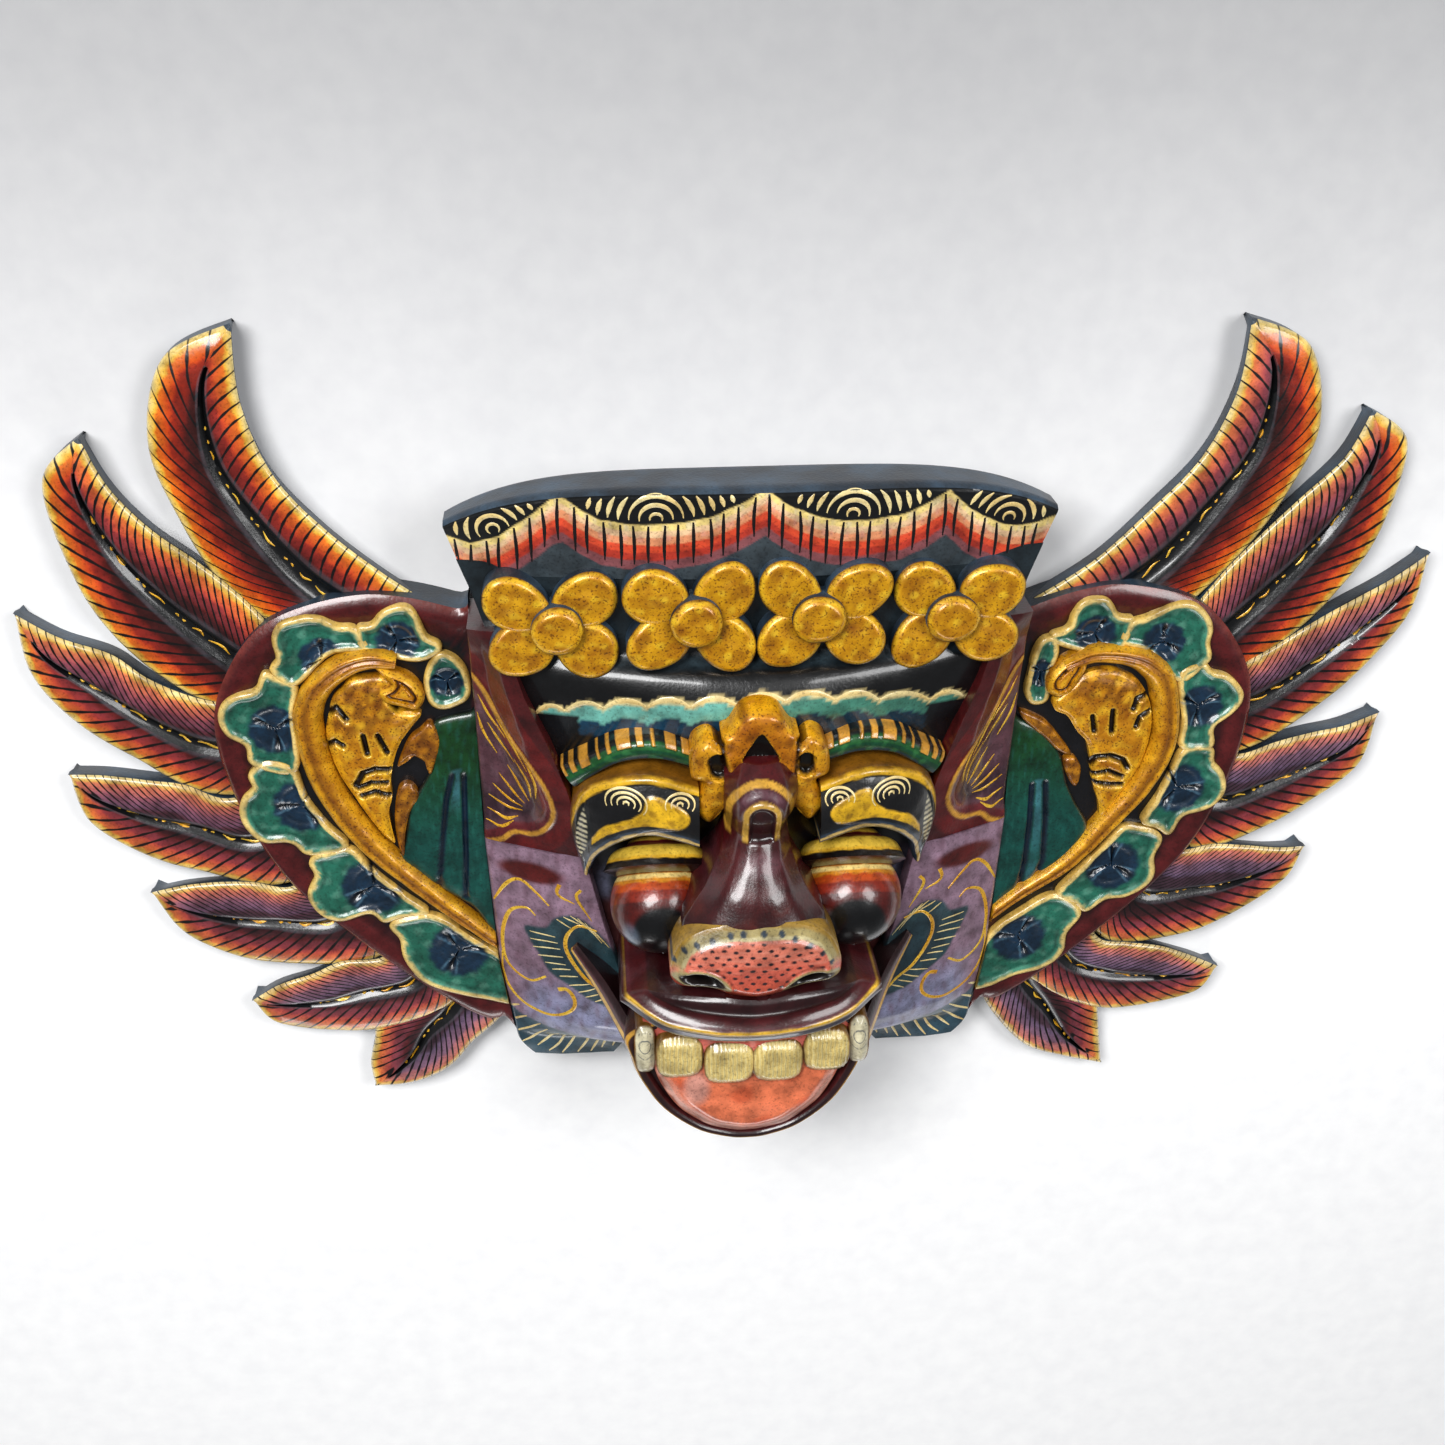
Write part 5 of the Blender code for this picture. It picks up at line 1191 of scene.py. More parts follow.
def browPieces():
    field = through(brow["field"], 110, closed=True)
    shell = through(brow["shell"], 60, closed=True)
    made = []
    for side, label in ((-1, "left"), (1, "right")):
        top = ribbonBetween(brow["upper"], brow["lower"], 170, 48, 3.0, side)
        plain = top * np.array([side, 1, 1])
        gapUp = gapTo(plain, through(brow["upper"], 120))[0]
        gapLow = gapTo(plain, through(brow["lower"], 120))[0]
        inField, inShell = inset(plain, field), inset(plain, shell)
        top[..., 2] += 0.7 * (1 - ease(np.abs(gapUp - 1.6), 0.6, 1.6)) + 0.5 * ease(inField, -0.2, 0.8)
        top[..., 2] -= 1.6 * (1 - ease(np.minimum(gapUp, gapLow), -0.5, 0.9)) + ripple(top, 3, 0.12)
        wave = ripple(plain, 3, 0.3)
        colours = bands(gapUp + wave, [(0, "#8A5A14"), (0.5, "#EDB824"), (3.1, "#0C0C0E")])
        colours = over(colours, "#E6B41E", ease(inField + wave, -0.3, 0.3))
        colours = over(colours, "#8A6010", 0.6 * ease(inField, 0, 1)
                       * ease(ripple(plain, 2.5, 1.0, 2), 0.1, 0.6))
        colours = over(colours, "#101416", ease(inShell, -0.9, -0.4))
        colours = over(colours, "#D8D0AC", ease(inShell, 0.9, 1.4)
                       * ease(np.sin(plain[..., 1] * 2.4), -0.3, 0.3))
        colours = over(colours, "#0E1418", 1 - ease(gapLow, 5.6, 6.0))
        colours = over(colours, "#2C3E50", 1 - ease(gapLow, 3.6, 4.4))
        colours = over(colours, "#DDBB6C", 1 - ease(np.abs(gapLow - 1.9 + wave), 0.5, 0.9))
        made.append(slabPiece(f"mask_brow_{label}", "mask", top, 30.0, ("zones",), colours))

        top = ribbonBetween(brow["leafUpper"], brow["leafLower"], 130, 30, 2.0, side)
        s = np.linspace(0, 1, 30)[None] + 0 * top[..., 0]
        run = np.linspace(0, 1, 130)[:, None] + 0 * s
        block = np.abs(((run * 9.5 + 0.15 * np.sin(run * 20)) % 1) - 0.5)
        size = 0.20 + 0.10 * np.sin(run * 17) + 0.08 * np.exp(-((run - 0.45) / 0.1) ** 2)
        isBlock = (1 - ease(block, size, size + 0.05)) * (1 - ease(s, 0.30, 0.36))
        between = (1 - isBlock) * (1 - ease(s, 0.1, 0.3))
        rounding = 1 - ease(np.minimum(s, 1 - s), 0, 0.12)
        top[..., 2] += 0.8 * isBlock - 1.2 * rounding - 0.8 * between
        colours = bands(s * 9, [(0, "#0B1214"), (1.6, "#1A5C2A"), (4.5, "#0F4A2E"), (6.8, "#0C3C48")])
        colours = over(colours, "#3F8A4A", 0.4 * ease(ripple(top, 2.5, 1.0), 0.1, 0.6) * ease(s, 0.3, 0.4))
        colours = over(colours, "#DFA03A", isBlock)
        made.append(slabPiece(f"mask_brow_leaf_{label}", "mask", top, 30.0, ("zones",), colours))
    return made


eyes = {
    "x": 39.5, "y": -57.0, "z": 64.0, "ball": 20.5, "lid": 25.0, "rise": 4.0, "cut": 66.0,
    "ballArc": 0.36, "lidArc": 0.436,      # mm along the skin for each degree
    # Painted rings, each from so many degrees off the eye's axis
    "ballRings": [(0, "#0C0606"), (52, "#0C0606"), (55, "#C0701A"), (59, "#FFE08A"), (65, "#E09022"),
                  (70, "#C04A12"), (79, "#8A240E"), (92, "#5A120C")],
    "lidRings": [(0, "#3A1218"), (17, "#5A141C"), (23, "#F2C040"), (31, "#64141A"), (36, "#8A2A28"),
                 (42, "#F6CC48"), (56, "#EDB830"), (59, "#0E0606")],
}


def roundPiece(name, centre, radius, axis, low, high, rows, around, colourOf, bumpOf=None):
    # Part of a ball between two angles from an axis, closed by a smaller inner face
    n = np.array(axis, float) / np.linalg.norm(axis)
    u = np.cross(n, [0, 0, 1.0])
    u /= np.linalg.norm(u)
    v = np.cross(n, u)
    angle = np.radians(np.linspace(low, high, rows))[:, None]
    turn = np.linspace(0, 2 * np.pi, around, endpoint=False)[None]
    r = radius + (bumpOf(np.degrees(angle), turn) if bumpOf else 0 * angle * turn)
    away = (np.cos(angle)[..., None] * n + np.sin(angle)[..., None]
            * (np.cos(turn)[..., None] * u + np.sin(turn)[..., None] * v))
    skin = np.array(centre) + r[..., None] * away
    colours = colourOf(np.degrees(angle) + 0 * turn, skin)
    rings = [skin]
    shades = [colours]
    if high < 179:
        inner = np.array(centre) + (radius - 5.5) * away[-1:]
        rings.append(inner)
        shades.append(fill((1, around), "#0A0506"))
    ring = np.concatenate(rings)
    return meshPiece(name, "mask", ring, capped(ring), ["zones"],
                     colour=np.concatenate(shades).reshape(-1, 4))


def ringBands(angle, arc, rings):
    return bands(angle * arc, [(degrees * arc, code) for degrees, code in rings])


def eyePieces():
    for side, label in ((-1, "left"), (1, "right")):
        centre = np.array([side * eyes["x"], eyes["y"], eyes["z"]])
        axis = (0.0, 0.8, -0.6)

        def ballColour(angle, skin):
            wave = ripple(skin, 3, 0.5)
            colours = ringBands(angle + 3 * wave, eyes["ballArc"], eyes["ballRings"])
            pupil = skin - (centre + eyes["ball"] * np.array([-0.02 * side, -0.12, 0.99]))
            dark = np.linalg.norm(pupil * np.array([1.0, 1.05, 1.0]), axis=-1)
            low = centre + eyes["ball"] * np.array([0.0, -0.5, 0.86])
            dark = np.minimum(dark, np.linalg.norm((skin - low) * np.array([0.85, 1.1, 1.0]), axis=-1))
            colours = over(colours, "#050608", 1 - ease(dark, 11.5, 14.0))
            glint = centre + eyes["ball"] * np.array([-0.62, -0.30, 0.72])
            sheen = np.linalg.norm((skin - glint) / np.array([5, 8, 6.0]), axis=-1)
            return over(colours, "#7A8AA0", 0.75 * (1 - ease(sheen, 0.3, 1.1)))

        roundPiece(f"mask_eye_{label}", centre, eyes["ball"], axis, 4, 176, 84, 96, ballColour)

        def lidColour(angle, skin):
            wave = ripple(skin, 3, 1.2)
            return ringBands(angle + wave, eyes["lidArc"], eyes["lidRings"])

        def lidBump(angle, turn):
            ridge = np.exp(-((angle - 49) / 8.0) ** 2) * 0.9 - np.exp(-((angle - 34) / 5.0) ** 2) * 0.7
            return ridge + np.exp(-((angle - 26) / 4.0) ** 2) * 0.5 + 0 * turn

        roundPiece(f"mask_lid_{label}", centre + np.array([0, eyes["rise"], 0]), eyes["lid"], axis, 2,
                   eyes["cut"], 60, 120, lidColour, lidBump)


middle = {
    "lean": -3.5,
    "jewel": [(0, 35), (7, 33), (12, 26), (15, 24), (15, 19), (20, 23), (26, 18), (27, 6), (22, 2), (26, -8),
              (20, -16), (14, -10), (0, -8)],
    "bridge": [(14, 12, 80), (8, 14, 88), (2, 14.5, 93), (-6, 14, 92), (-14, 12, 88), (-24, 14, 93),
               (-36, 20, 100), (-48, 28, 104), (-58, 30, 104)],
    "pad": [(0, -44.5), (18, -46), (29, -52), (34, -64), (31, -73), (18, -75), (9, -79), (0, -80.5)],
    "padTop": 108.0,
    "lipTop": [(0, -79, 105), (16, -78, 103), (36, -80, 96), (53, -85, 85)],
    "lipFoot": [(0, -101, 103), (20, -100, 102), (38, -98, 96), (54, -92, 83)],
    "gumTop": [(0, -100, 94), (24, -93, 92), (46, -88, 84)],
    "gumFoot": [(0, -119, 92), (24, -116, 90), (44, -110, 84)],
    "dots": [(-36, -60), (-32, -55), (-27, -52), (-21, -50), (-14, -48), (-9, -47.5), (-1, -47.5), (6, -48),
             (11, -50), (17, -53), (22, -57), (26, -62)],
    "nostrils": [(-25, -67.5), (18, -69.5)],
}


def mirrorLoop(half, lean=0.0):
    points = list(half) + [(-x, y) for x, y in reversed(half) if x]
    return np.array([(x + lean, y) for x, y in points], float)


def acrossLine(half, lean):
    return [(-p[0] + lean, *p[1:]) for p in reversed(half[1:])] + [(p[0] + lean, *p[1:]) for p in half]


def middlePieces():
    lean = middle["lean"]
    outline = mirrorLoop(middle["jewel"])
    jewel = through(outline, 220, closed=True)
    holes = [([(0, 24.5), (-6, 14.5), (6, 14.5)], 1.1), ([(-17, 13), (-16, 9)], 3.4),
             ([(18, 13), (18, 9)], 3.0)]

    def holeGap(p):
        gaps = []
        for points, wide in holes:
            line = np.array(points, float)
            gap = gapTo(p, line, closed=len(points) > 2)[0]
            if len(points) > 2:
                gap = np.where(within(p, line), 0, gap)
            gaps.append(gap / wide)
        return np.min(gaps, axis=0)

    def jewelShape(p, gap):
        y = p[..., 1]
        z = 75.5 + 0.10 * (y - 10) + 1.5 * ease(gap, 0, 6) - 2.5 * (1 - ease(gap, -0.8, 2.2))
        z = z - 4.5 * (1 - ease(holeGap(p), 0.7, 1.3))
        groove = np.abs(np.abs(p[..., 0]) - 13.5 - 0.08 * (y - 5))
        z = z - 1.4 * (1 - ease(groove, 0.2, 1.2)) * (1 - ease(y, 20, 24))
        return z + ripple(p, 3, 0.35)

    def jewelColour(p, gap):
        y = p[..., 1]
        colours = bands(gap + ripple(p, 2.5, 0.4), [(0, "#F4BE20"), (1.2, "#DC9A14"), (2.6, "#C48010")])
        side = ease(np.abs(p[..., 0]), 13, 15) * (1 - ease(y, 20, 23))
        colours = over(colours, "#DDA51E", side)
        colours = over(colours, "#7A4408", 0.6 * ease(ripple(p, 3.5, 1.0, 3), 0.1, 0.6))
        colours = over(colours, "#F2CC4A", 0.6 * side * ease(ripple(p, 2.5, 1.0, 9), 0.2, 0.6))
        edge = holeGap(p)
        colours = over(colours, "#E8B22C", 1 - ease(edge, 1.3, 1.7))
        colours = over(colours, "#0A0808", 1 - ease(edge, 0.9, 1.15))
        groove = np.abs(np.abs(p[..., 0]) - 13.5 - 0.08 * (y - 5))
        return over(colours, "#3A1E06", (1 - ease(groove, 0.4, 1.0)) * (1 - ease(y, 20, 24)))

    leafPiece("mask_jewel", "mask", jewel, 45.0, jewelShape, ("goldZones",), jewelColour, rings=38,
              centre=(0, 8))

    rows, columns = 120, 76
    table = [(y, half, top, top - 1, top - 4, top - 14) for y, half, top in middle["bridge"]]
    top = np.zeros((rows, columns, 3))
    for i, level in enumerate(np.linspace(14, -58, rows)):
        half, *heights = heightsAt(table, level)
        shift = lean * min(1.0, max(0.0, -level / 40))
        x = np.linspace(-half, half, columns)
        top[i, :, 0], top[i, :, 1] = x + shift, level
        top[i, :, 2] = np.interp(np.abs(x) / half, np.linspace(0, 1, 4), heights)
    top[..., 2] = soften(top[..., 2], 12)
    x, y = top[..., 0] + 0.6, top[..., 1]
    arcGap = np.hypot(x, (y + 4) * 0.95)
    arcGap = np.where(y < -4, np.abs(x), arcGap)
    inY = ease(y, -17, -15)
    colours = over(fill(x.shape, "#4A0E12"), "#34090C", ease(-y, 30, 48))
    # A lilac patch on the bridge is a painted highlight
    colours = over(colours, "#7A545E", 0.4 * (1 - ease(np.hypot(x / 9, (y + 24) / 5), 0.5, 1.2)))
    colours = over(colours, "#7A5866", 0.45 * (1 - ease(np.abs(arcGap - 9.2), 0.8, 2.0)) * ease(y, -4, 4))
    colours = over(colours, "#4C1410", ease(-y, 36, 42) * ease(ripple(top, 5, 1.0), -0.2, 0.5))
    colours = over(colours, "#D9A33A", (1 - ease(np.abs(arcGap - 12.3), 0.8, 1.2)) * inY)
    colours = over(colours, "#DDAE48", (1 - ease(np.abs(arcGap - 6.4), 0.9, 1.3)) * inY)
    colours = over(colours, "#2E080A", (1 - ease(arcGap, 4.6, 5.2)) * inY)
    colours = over(colours, "#3E2A34", ease(np.abs(x) / 14, 1.0, 1.5) * (1 - ease(-y, 20, 44)) * 0.8)
    top[..., 2] += 0.9 * (1 - ease(np.abs(arcGap - 6.4), 0.6, 2.0)) * inY - 1.2 * (1 - ease(arcGap, 3.5,
                                                                                            5.0)) * inY
    top[..., 2] += ripple(top, 5, 0.2)
    slabPiece("mask_bridge", "mask", top, 45.0, ("zones",), colours)

    pad = through(mirrorLoop(middle["pad"], lean), 200, closed=True)
    dots = np.array(middle["dots"], float)
    nostrils = [(np.array(spot), s) for spot, s in zip(middle["nostrils"], (1, -1))]

    def nostrilGap(p):
        gaps = []
        for spot, way in nostrils:
            q = p[..., :2] - spot
            a = math.radians(-14 * way)
            u = q[..., 0] * math.cos(a) + q[..., 1] * math.sin(a)
            v = -q[..., 0] * math.sin(a) + q[..., 1] * math.cos(a)
            gaps.append(np.hypot(u / 8.2, (v + 0.018 * u * u - 0.4) / 3.3))
        return np.min(gaps, axis=0)

    def padShape(p, gap):
        z = middle["padTop"] - 7.5 * (1 - ease(gap, -2.5, 7.5)) - 0.03 * np.abs(p[..., 0] - lean) * 2
        z = z - 0.09 * np.clip(-p[..., 1] - 62, 0, 30)
        hole = nostrilGap(p)
        z = z - 6.0 * (1 - ease(hole, 0.35, 1.05)) + 0.9 * (1 - ease(np.abs(hole - 1.3), 0.1, 0.4))
        return z + ripple(p, 4, 0.15)

    def padColour(p, gap):
        x, y = p[..., 0], p[..., 1]
        upper = ease(y, -66, -60)
        colours = over(fill(x.shape, "#D9604A"), "#E07E66", ease(y, -66, -54))
        streak = ripple(p * np.array([0.5, 3.0, 1]), 3, 1.0)
        colours = over(colours, "#E8927C", 0.6 * ease(streak, 0.0, 0.5) * ease(y, -68, -58))
        colours = over(colours, "#C8481E", 0.7 * ease(-y, 66, 76))
        rim = gap + ripple(p, 4, 0.4)
        colours = over(colours, "#A89862", (1 - ease(rim, 4.4, 5.0)) * upper)
        colours = over(colours, "#C8BC8C", (1 - ease(np.abs(rim - 4.3), 0.3, 0.8)) * upper)
        colours = over(colours, "#A8842E", (1 - ease(rim, 0.8, 2.0)) * upper)
        spots = np.min([np.hypot((x - a) / 1.25, (y - b) / 1.15) for a, b in dots], axis=0)
        colours = over(colours, "#33404C", 1 - ease(spots, 0.8, 1.15))
        hole = nostrilGap(p)
        colours = over(colours, "#A89A66", 1 - ease(hole, 1.4, 1.55))
        colours = over(colours, "#1A1210", 1 - ease(hole, 1.08, 1.2))
        colours = over(colours, "#4A1010", 1 - ease(hole, 0.3, 0.6))
        row = np.round((y + 78) / 3.1)
        dx = (x + 3.5 + 1.6 * (row % 2) + 0.6 * np.sin(row * 3)) / 4.6
        cell = np.hypot((dx - np.round(dx)) * 4.6 / 1.15,
                        (y + 78 - 3.1 * row + 0.5 * np.sin(np.round(dx) * 2.3)) / 0.8)
        here = ease(hole, 1.5, 1.7) * ease(rim, 5.4, 5.8) * ease(y, -79, -77)
        return over(colours, "#241A20", (1 - ease(cell, 0.7, 1.05)) * here)

    leafPiece("mask_nose_pad", "mask", pad, 70.0, padShape, ("zones",), padColour, rings=48,
              centre=(lean, -62), wallCode="#3C1014")

    top = ribbonBetween(acrossLine(middle["lipTop"], lean), acrossLine(middle["lipFoot"], lean), 190, 48, 2.0)
    s = np.linspace(0, 1, 48)[None] + 0 * top[..., 0]
    foot = through(acrossLine(middle["lipFoot"], lean), 160)
    up = gapTo(top, foot)[0]
    top[..., 2] += 1.6 * np.exp(-((up - 7.2) / 1.6) ** 2) - 2.0 * np.exp(-((up - 12.5) / 3.0) ** 2)
    top[..., 2] -= 2.2 * (1 - ease(up, -0.8, 2.5)) + 1.5 * (1 - ease(s, -0.05, 0.1))
    top[..., 2] += ripple(top, 5, 0.12)
    wave = ripple(top, 5, 0.3)
    colours = bands(up + wave, [(0, "#1C1C26"), (0.9, "#34323E"), (2.2, "#443E4C"), (4.0, "#241A20"),
                                (5.0, "#EAB834"), (8.0, "#5A2026"), (9.1, "#4A0E12"), (14.0, "#2C060A")])
    run = np.minimum(np.linspace(0, 1, 190), np.linspace(1, 0, 190))[:, None] + 0 * up
    colours = over(colours, "#3C1012", 1 - ease(run, 0.004, 0.03))
    slabPiece("mask_lip", "mask", top, 40.0, ("zones",), colours)

    top = ribbonBetween(acrossLine(middle["gumTop"], lean), acrossLine(middle["gumFoot"], lean), 160, 30, 1.0)
    tone = ripple(top * np.array([2.5, 0.8, 1]), 4, 1.0)
    colours = over(fill(tone.shape, "#DE6A5A"), "#EE9A8C", 0.6 * ease(tone, 0, 0.6))
    slabPiece("mask_gum", "mask", top, 70.0, ("zones",), colours)


mouth = {
    "teeth": [(10.6, -117, 10.4, 10.5, 0.0), (31.0, -114, 9.7, 10.5, 1.5), (45.0, -112.5, 4.4, 12.0, 6.0)],
    "toothTop": 97.0, "toothGap": 1.2,
    "jaw": [(0, -96), (30, -98), (50, -106), (49, -118), (45, -130), (36, -145), (22, -157), (9, -162),
            (0, -163)],
    "jawLevels": [(14, 0.72, 14), (32, 0.79, 12), (50, 0.86, 10), (64, 0.94, 5), (75, 0.985, 1), (82, 1.0, 0),
                  (85.5, 0.995, 0), (87, 0.975, 0), (87, 0.93, 0), (86, 0.90, 0), (83, 0.88, 0)],
    "tongueTop": 92.0, "tongueShare": 0.80,
    "cornerOuter": [(74, -92, 44), (63, -105, 58), (50, -121, 80)],
    "cornerInner": [(71, -88, 46), (59, -98, 61), (46, -112, 82)],
}


def mouthPieces():
    lean = middle["lean"]
    for side, word in ((-1, "left"), (1, "right")):
        for number, (x, y, half, tall, drop) in enumerate(mouth["teeth"], 1):
            a = np.linspace(0, 2 * np.pi, 110, endpoint=False)
            bend = (np.abs(np.cos(a)) ** 3.2 + np.abs(np.sin(a)) ** 3.2) ** (-1 / 3.2)
            cx = lean + side * x - 0.5 * mouth["toothGap"] * side
            line = np.stack([cx + half * bend * np.cos(a), y + tall * bend * np.sin(a)], -1)
            fang = number == 3

            def toothShape(p, gap):
                rib = 0.16 * np.sin((p[..., 0] - cx) * 3.6 + 0.5 * np.sin(p[..., 1])) * (0 if fang else 1)
                return mouth["toothTop"] - drop - 3.6 * (1 - ease(gap, -1.6, 4.2)) + rib \
                    - 0.05 * np.abs(p[..., 1] - y)

            def toothColour(p, gap):
                colours = fill(gap.shape, "#E8E0BC" if fang else "#F0D888")
                rib = np.sin((p[..., 0] - cx) * 3.6 + 0.5 * np.sin(p[..., 1]) + 0.6)
                if fang:
                    q = np.hypot(p[..., 0] - cx, (p[..., 1] - y - 3) * 0.8)
                    colours = over(colours, "#56606A", (1 - ease(np.abs(np.sin(q * 1.3)), 0.1, 0.3))
                                   * ease(gap, 1.2, 1.6) * (1 - ease(q, 5, 6)))
                else:
                    colours = over(colours, "#B08C3A", 0.5 * ease(rib, 0.35, 0.9))
                    colours = over(colours, "#F2E6AC", 0.5 * ease(-rib, 0.5, 0.9))
                return over(colours, "#7A521C", 1 - ease(gap + ripple(p, 3, 0.2), 0.2, 1.0))

            leafPiece(f"mask_tooth_{word}_{number}", "mask", line, 60.0, toothShape, ("zones",),
                      toothColour, rings=22, wallCode="#3A200C")
        outer = [(side * x + lean, y, z) for x, y, z in mouth["cornerOuter"]]
        inner = [(side * x + lean, y, z) for x, y, z in mouth["cornerInner"]]
        top = ribbonBetween(outer, inner, 90, 26, 1.0)
        s = np.linspace(0, 1, 26)[None] + 0 * top[..., 0]
        colours = bands(s * 9, [(0, "#3A0E12"), (0.5, "#E2B040"), (2.6, "#4A1218"), (4.2, "#2A0C10")])
        colours = over(colours, "#5A2028", 0.6 * (1 - ease(np.abs(s - 0.45), 0.05, 0.16)))
        slabPiece(f"mask_mouth_corner_{word}", "mask", top, 20.0, ("zones",), colours)

    outline = through(mirrorLoop(mouth["jaw"], lean - 1.5), 220, closed=True)
    centre = mirrorLoop(mouth["jaw"], lean - 1.5).mean(axis=0)
    rings = []
    for z, scale, shift in mouth["jawLevels"]:
        ring = centre + (outline - centre) * scale + np.array([0, shift])
        rings.append(np.concatenate([ring, np.full((len(ring), 1), float(z))], -1))
    ring = np.array(rings)
    fine = np.linspace(0, len(rings) - 1, 38)
    below = np.minimum(fine.astype(int), len(rings) - 2)
    share = (fine - below)[:, None, None]
    ring = ring[below] * (1 - share) + ring[below + 1] * share
    level = fine[:, None] + 0 * ring[..., 0]
    colours = bands(level * 2, [(0, "#2A1216"), (9.0, "#3A1014"), (12.2, "#C89434"), (14.4, "#2A0E12"),
                                (17.5, "#4A1A1C")])
    meshPiece("mask_jaw", "mask", ring, capped(ring), ["zones"], colour=colours.reshape(-1, 4))

    tongue = centre + (outline - centre) * mouth["tongueShare"] + np.array([0, -2.5])

    def tongueShape(p, gap):
        z = mouth["tongueTop"] - 6.5 * (1 - ease(gap, -3.0, 9.0)) - 0.02 * (p[..., 1] + 140) ** 2 / 10
        return z + ripple(p, 7, 0.3)

    def tongueColour(p, gap):
        rim = gap + ripple(p, 4, 0.8)
        colours = bands(rim, [(0, "#C0644C"), (0.8, "#FCBCA8"), (3.2, "#FA9A7C"), (6.0, "#F07E54")])
        patch = ripple(p, 7, 1.0, 2)
        colours = over(colours, "#CC4A20", 0.6 * ease(patch, 0.0, 0.7) * ease(rim, 5, 8))
        # A pale pink spot on the left of the tongue is a painted highlight
        gloss = np.hypot((p[..., 0] + 27) / 6, (p[..., 1] + 131) / 9)
        return over(colours, "#F2C0B4", 0.6 * (1 - ease(gloss, 0.5, 1.2)))

    leafPiece("mask_tongue", "mask", tongue, 76.0, tongueShape, ("zones",), tongueColour, rings=44)


headBody = headPiece()
ears = earPieces()
cheeks = cheekPieces()
crownBody = crownPiece()
flowerPieces()
print("head, ears, cheeks and crown carved")
brows = browPieces()
eyePieces()
middlePieces()
mouthPieces()
print("eyes, snout and mouth carved")


# Painted strokes

def crownStrokes():
    line = np.array(crown["scallops"], float)

    def edge(x):
        return np.interp(x, line[:, 0], line[:, 1])

    cream, bars = [], []
    half = crown["half"]
    for cx, cy, wide in ((-99, 101.5, 17), (-38, 107.0, 36), (36, 107.0, 34), (98, 100.5, 17)):
        for r in np.arange(2.4, wide + 8, 3.9):
            a = np.radians(np.linspace(-30, 250, int(20 + 5 * r)))
            x = cx + r * np.cos(a)
            y = cy - 1.5 + 0.92 * r * np.sin(a)
            top = crownRim(np.clip(x / half, -1, 1)) - 2.0
            keep = (y < top) & (y > edge(x) + 1.4) & (np.abs(x) < half - 2) & (np.abs(x - cx) < wide)
            spans = np.split(np.arange(len(a)), np.where(np.diff(keep.astype(int)) != 0)[0] + 1)
            for span in spans:
                if len(span) > 3 and keep[span[0]]:
                    points = np.stack([x, y], -1)[span]
                    length = np.linalg.norm(np.diff(points, axis=0), axis=1).sum()
                    if length > 2.5:
                        size = 2.2 if r > 4 else 1.6
                        cream.append((points[::max(1, len(points) // 12)], (0.5, size, size, 0.5)))
    for x in np.arange(-113.5, 116, 5.6):
        x = x + 0.5 * math.sin(3 * x)
        top = edge(x) - 0.6
        long = 17.5 + 1.5 * math.sin(2.2 * x)
        lean = 0.6 * math.sin(1.7 * x)
        bars.append(([(x, top), (x + lean, top - long * 0.5), (x + 0.6 * lean, top - long)],
                     (0.9, 1.7, 1.6, 0.6)))
    strokes("mask_crown_rings", "mask", "creamStroke", cream, [crownBody])
    strokes("mask_crown_bars", "mask", "blackStroke", bars, [crownBody])


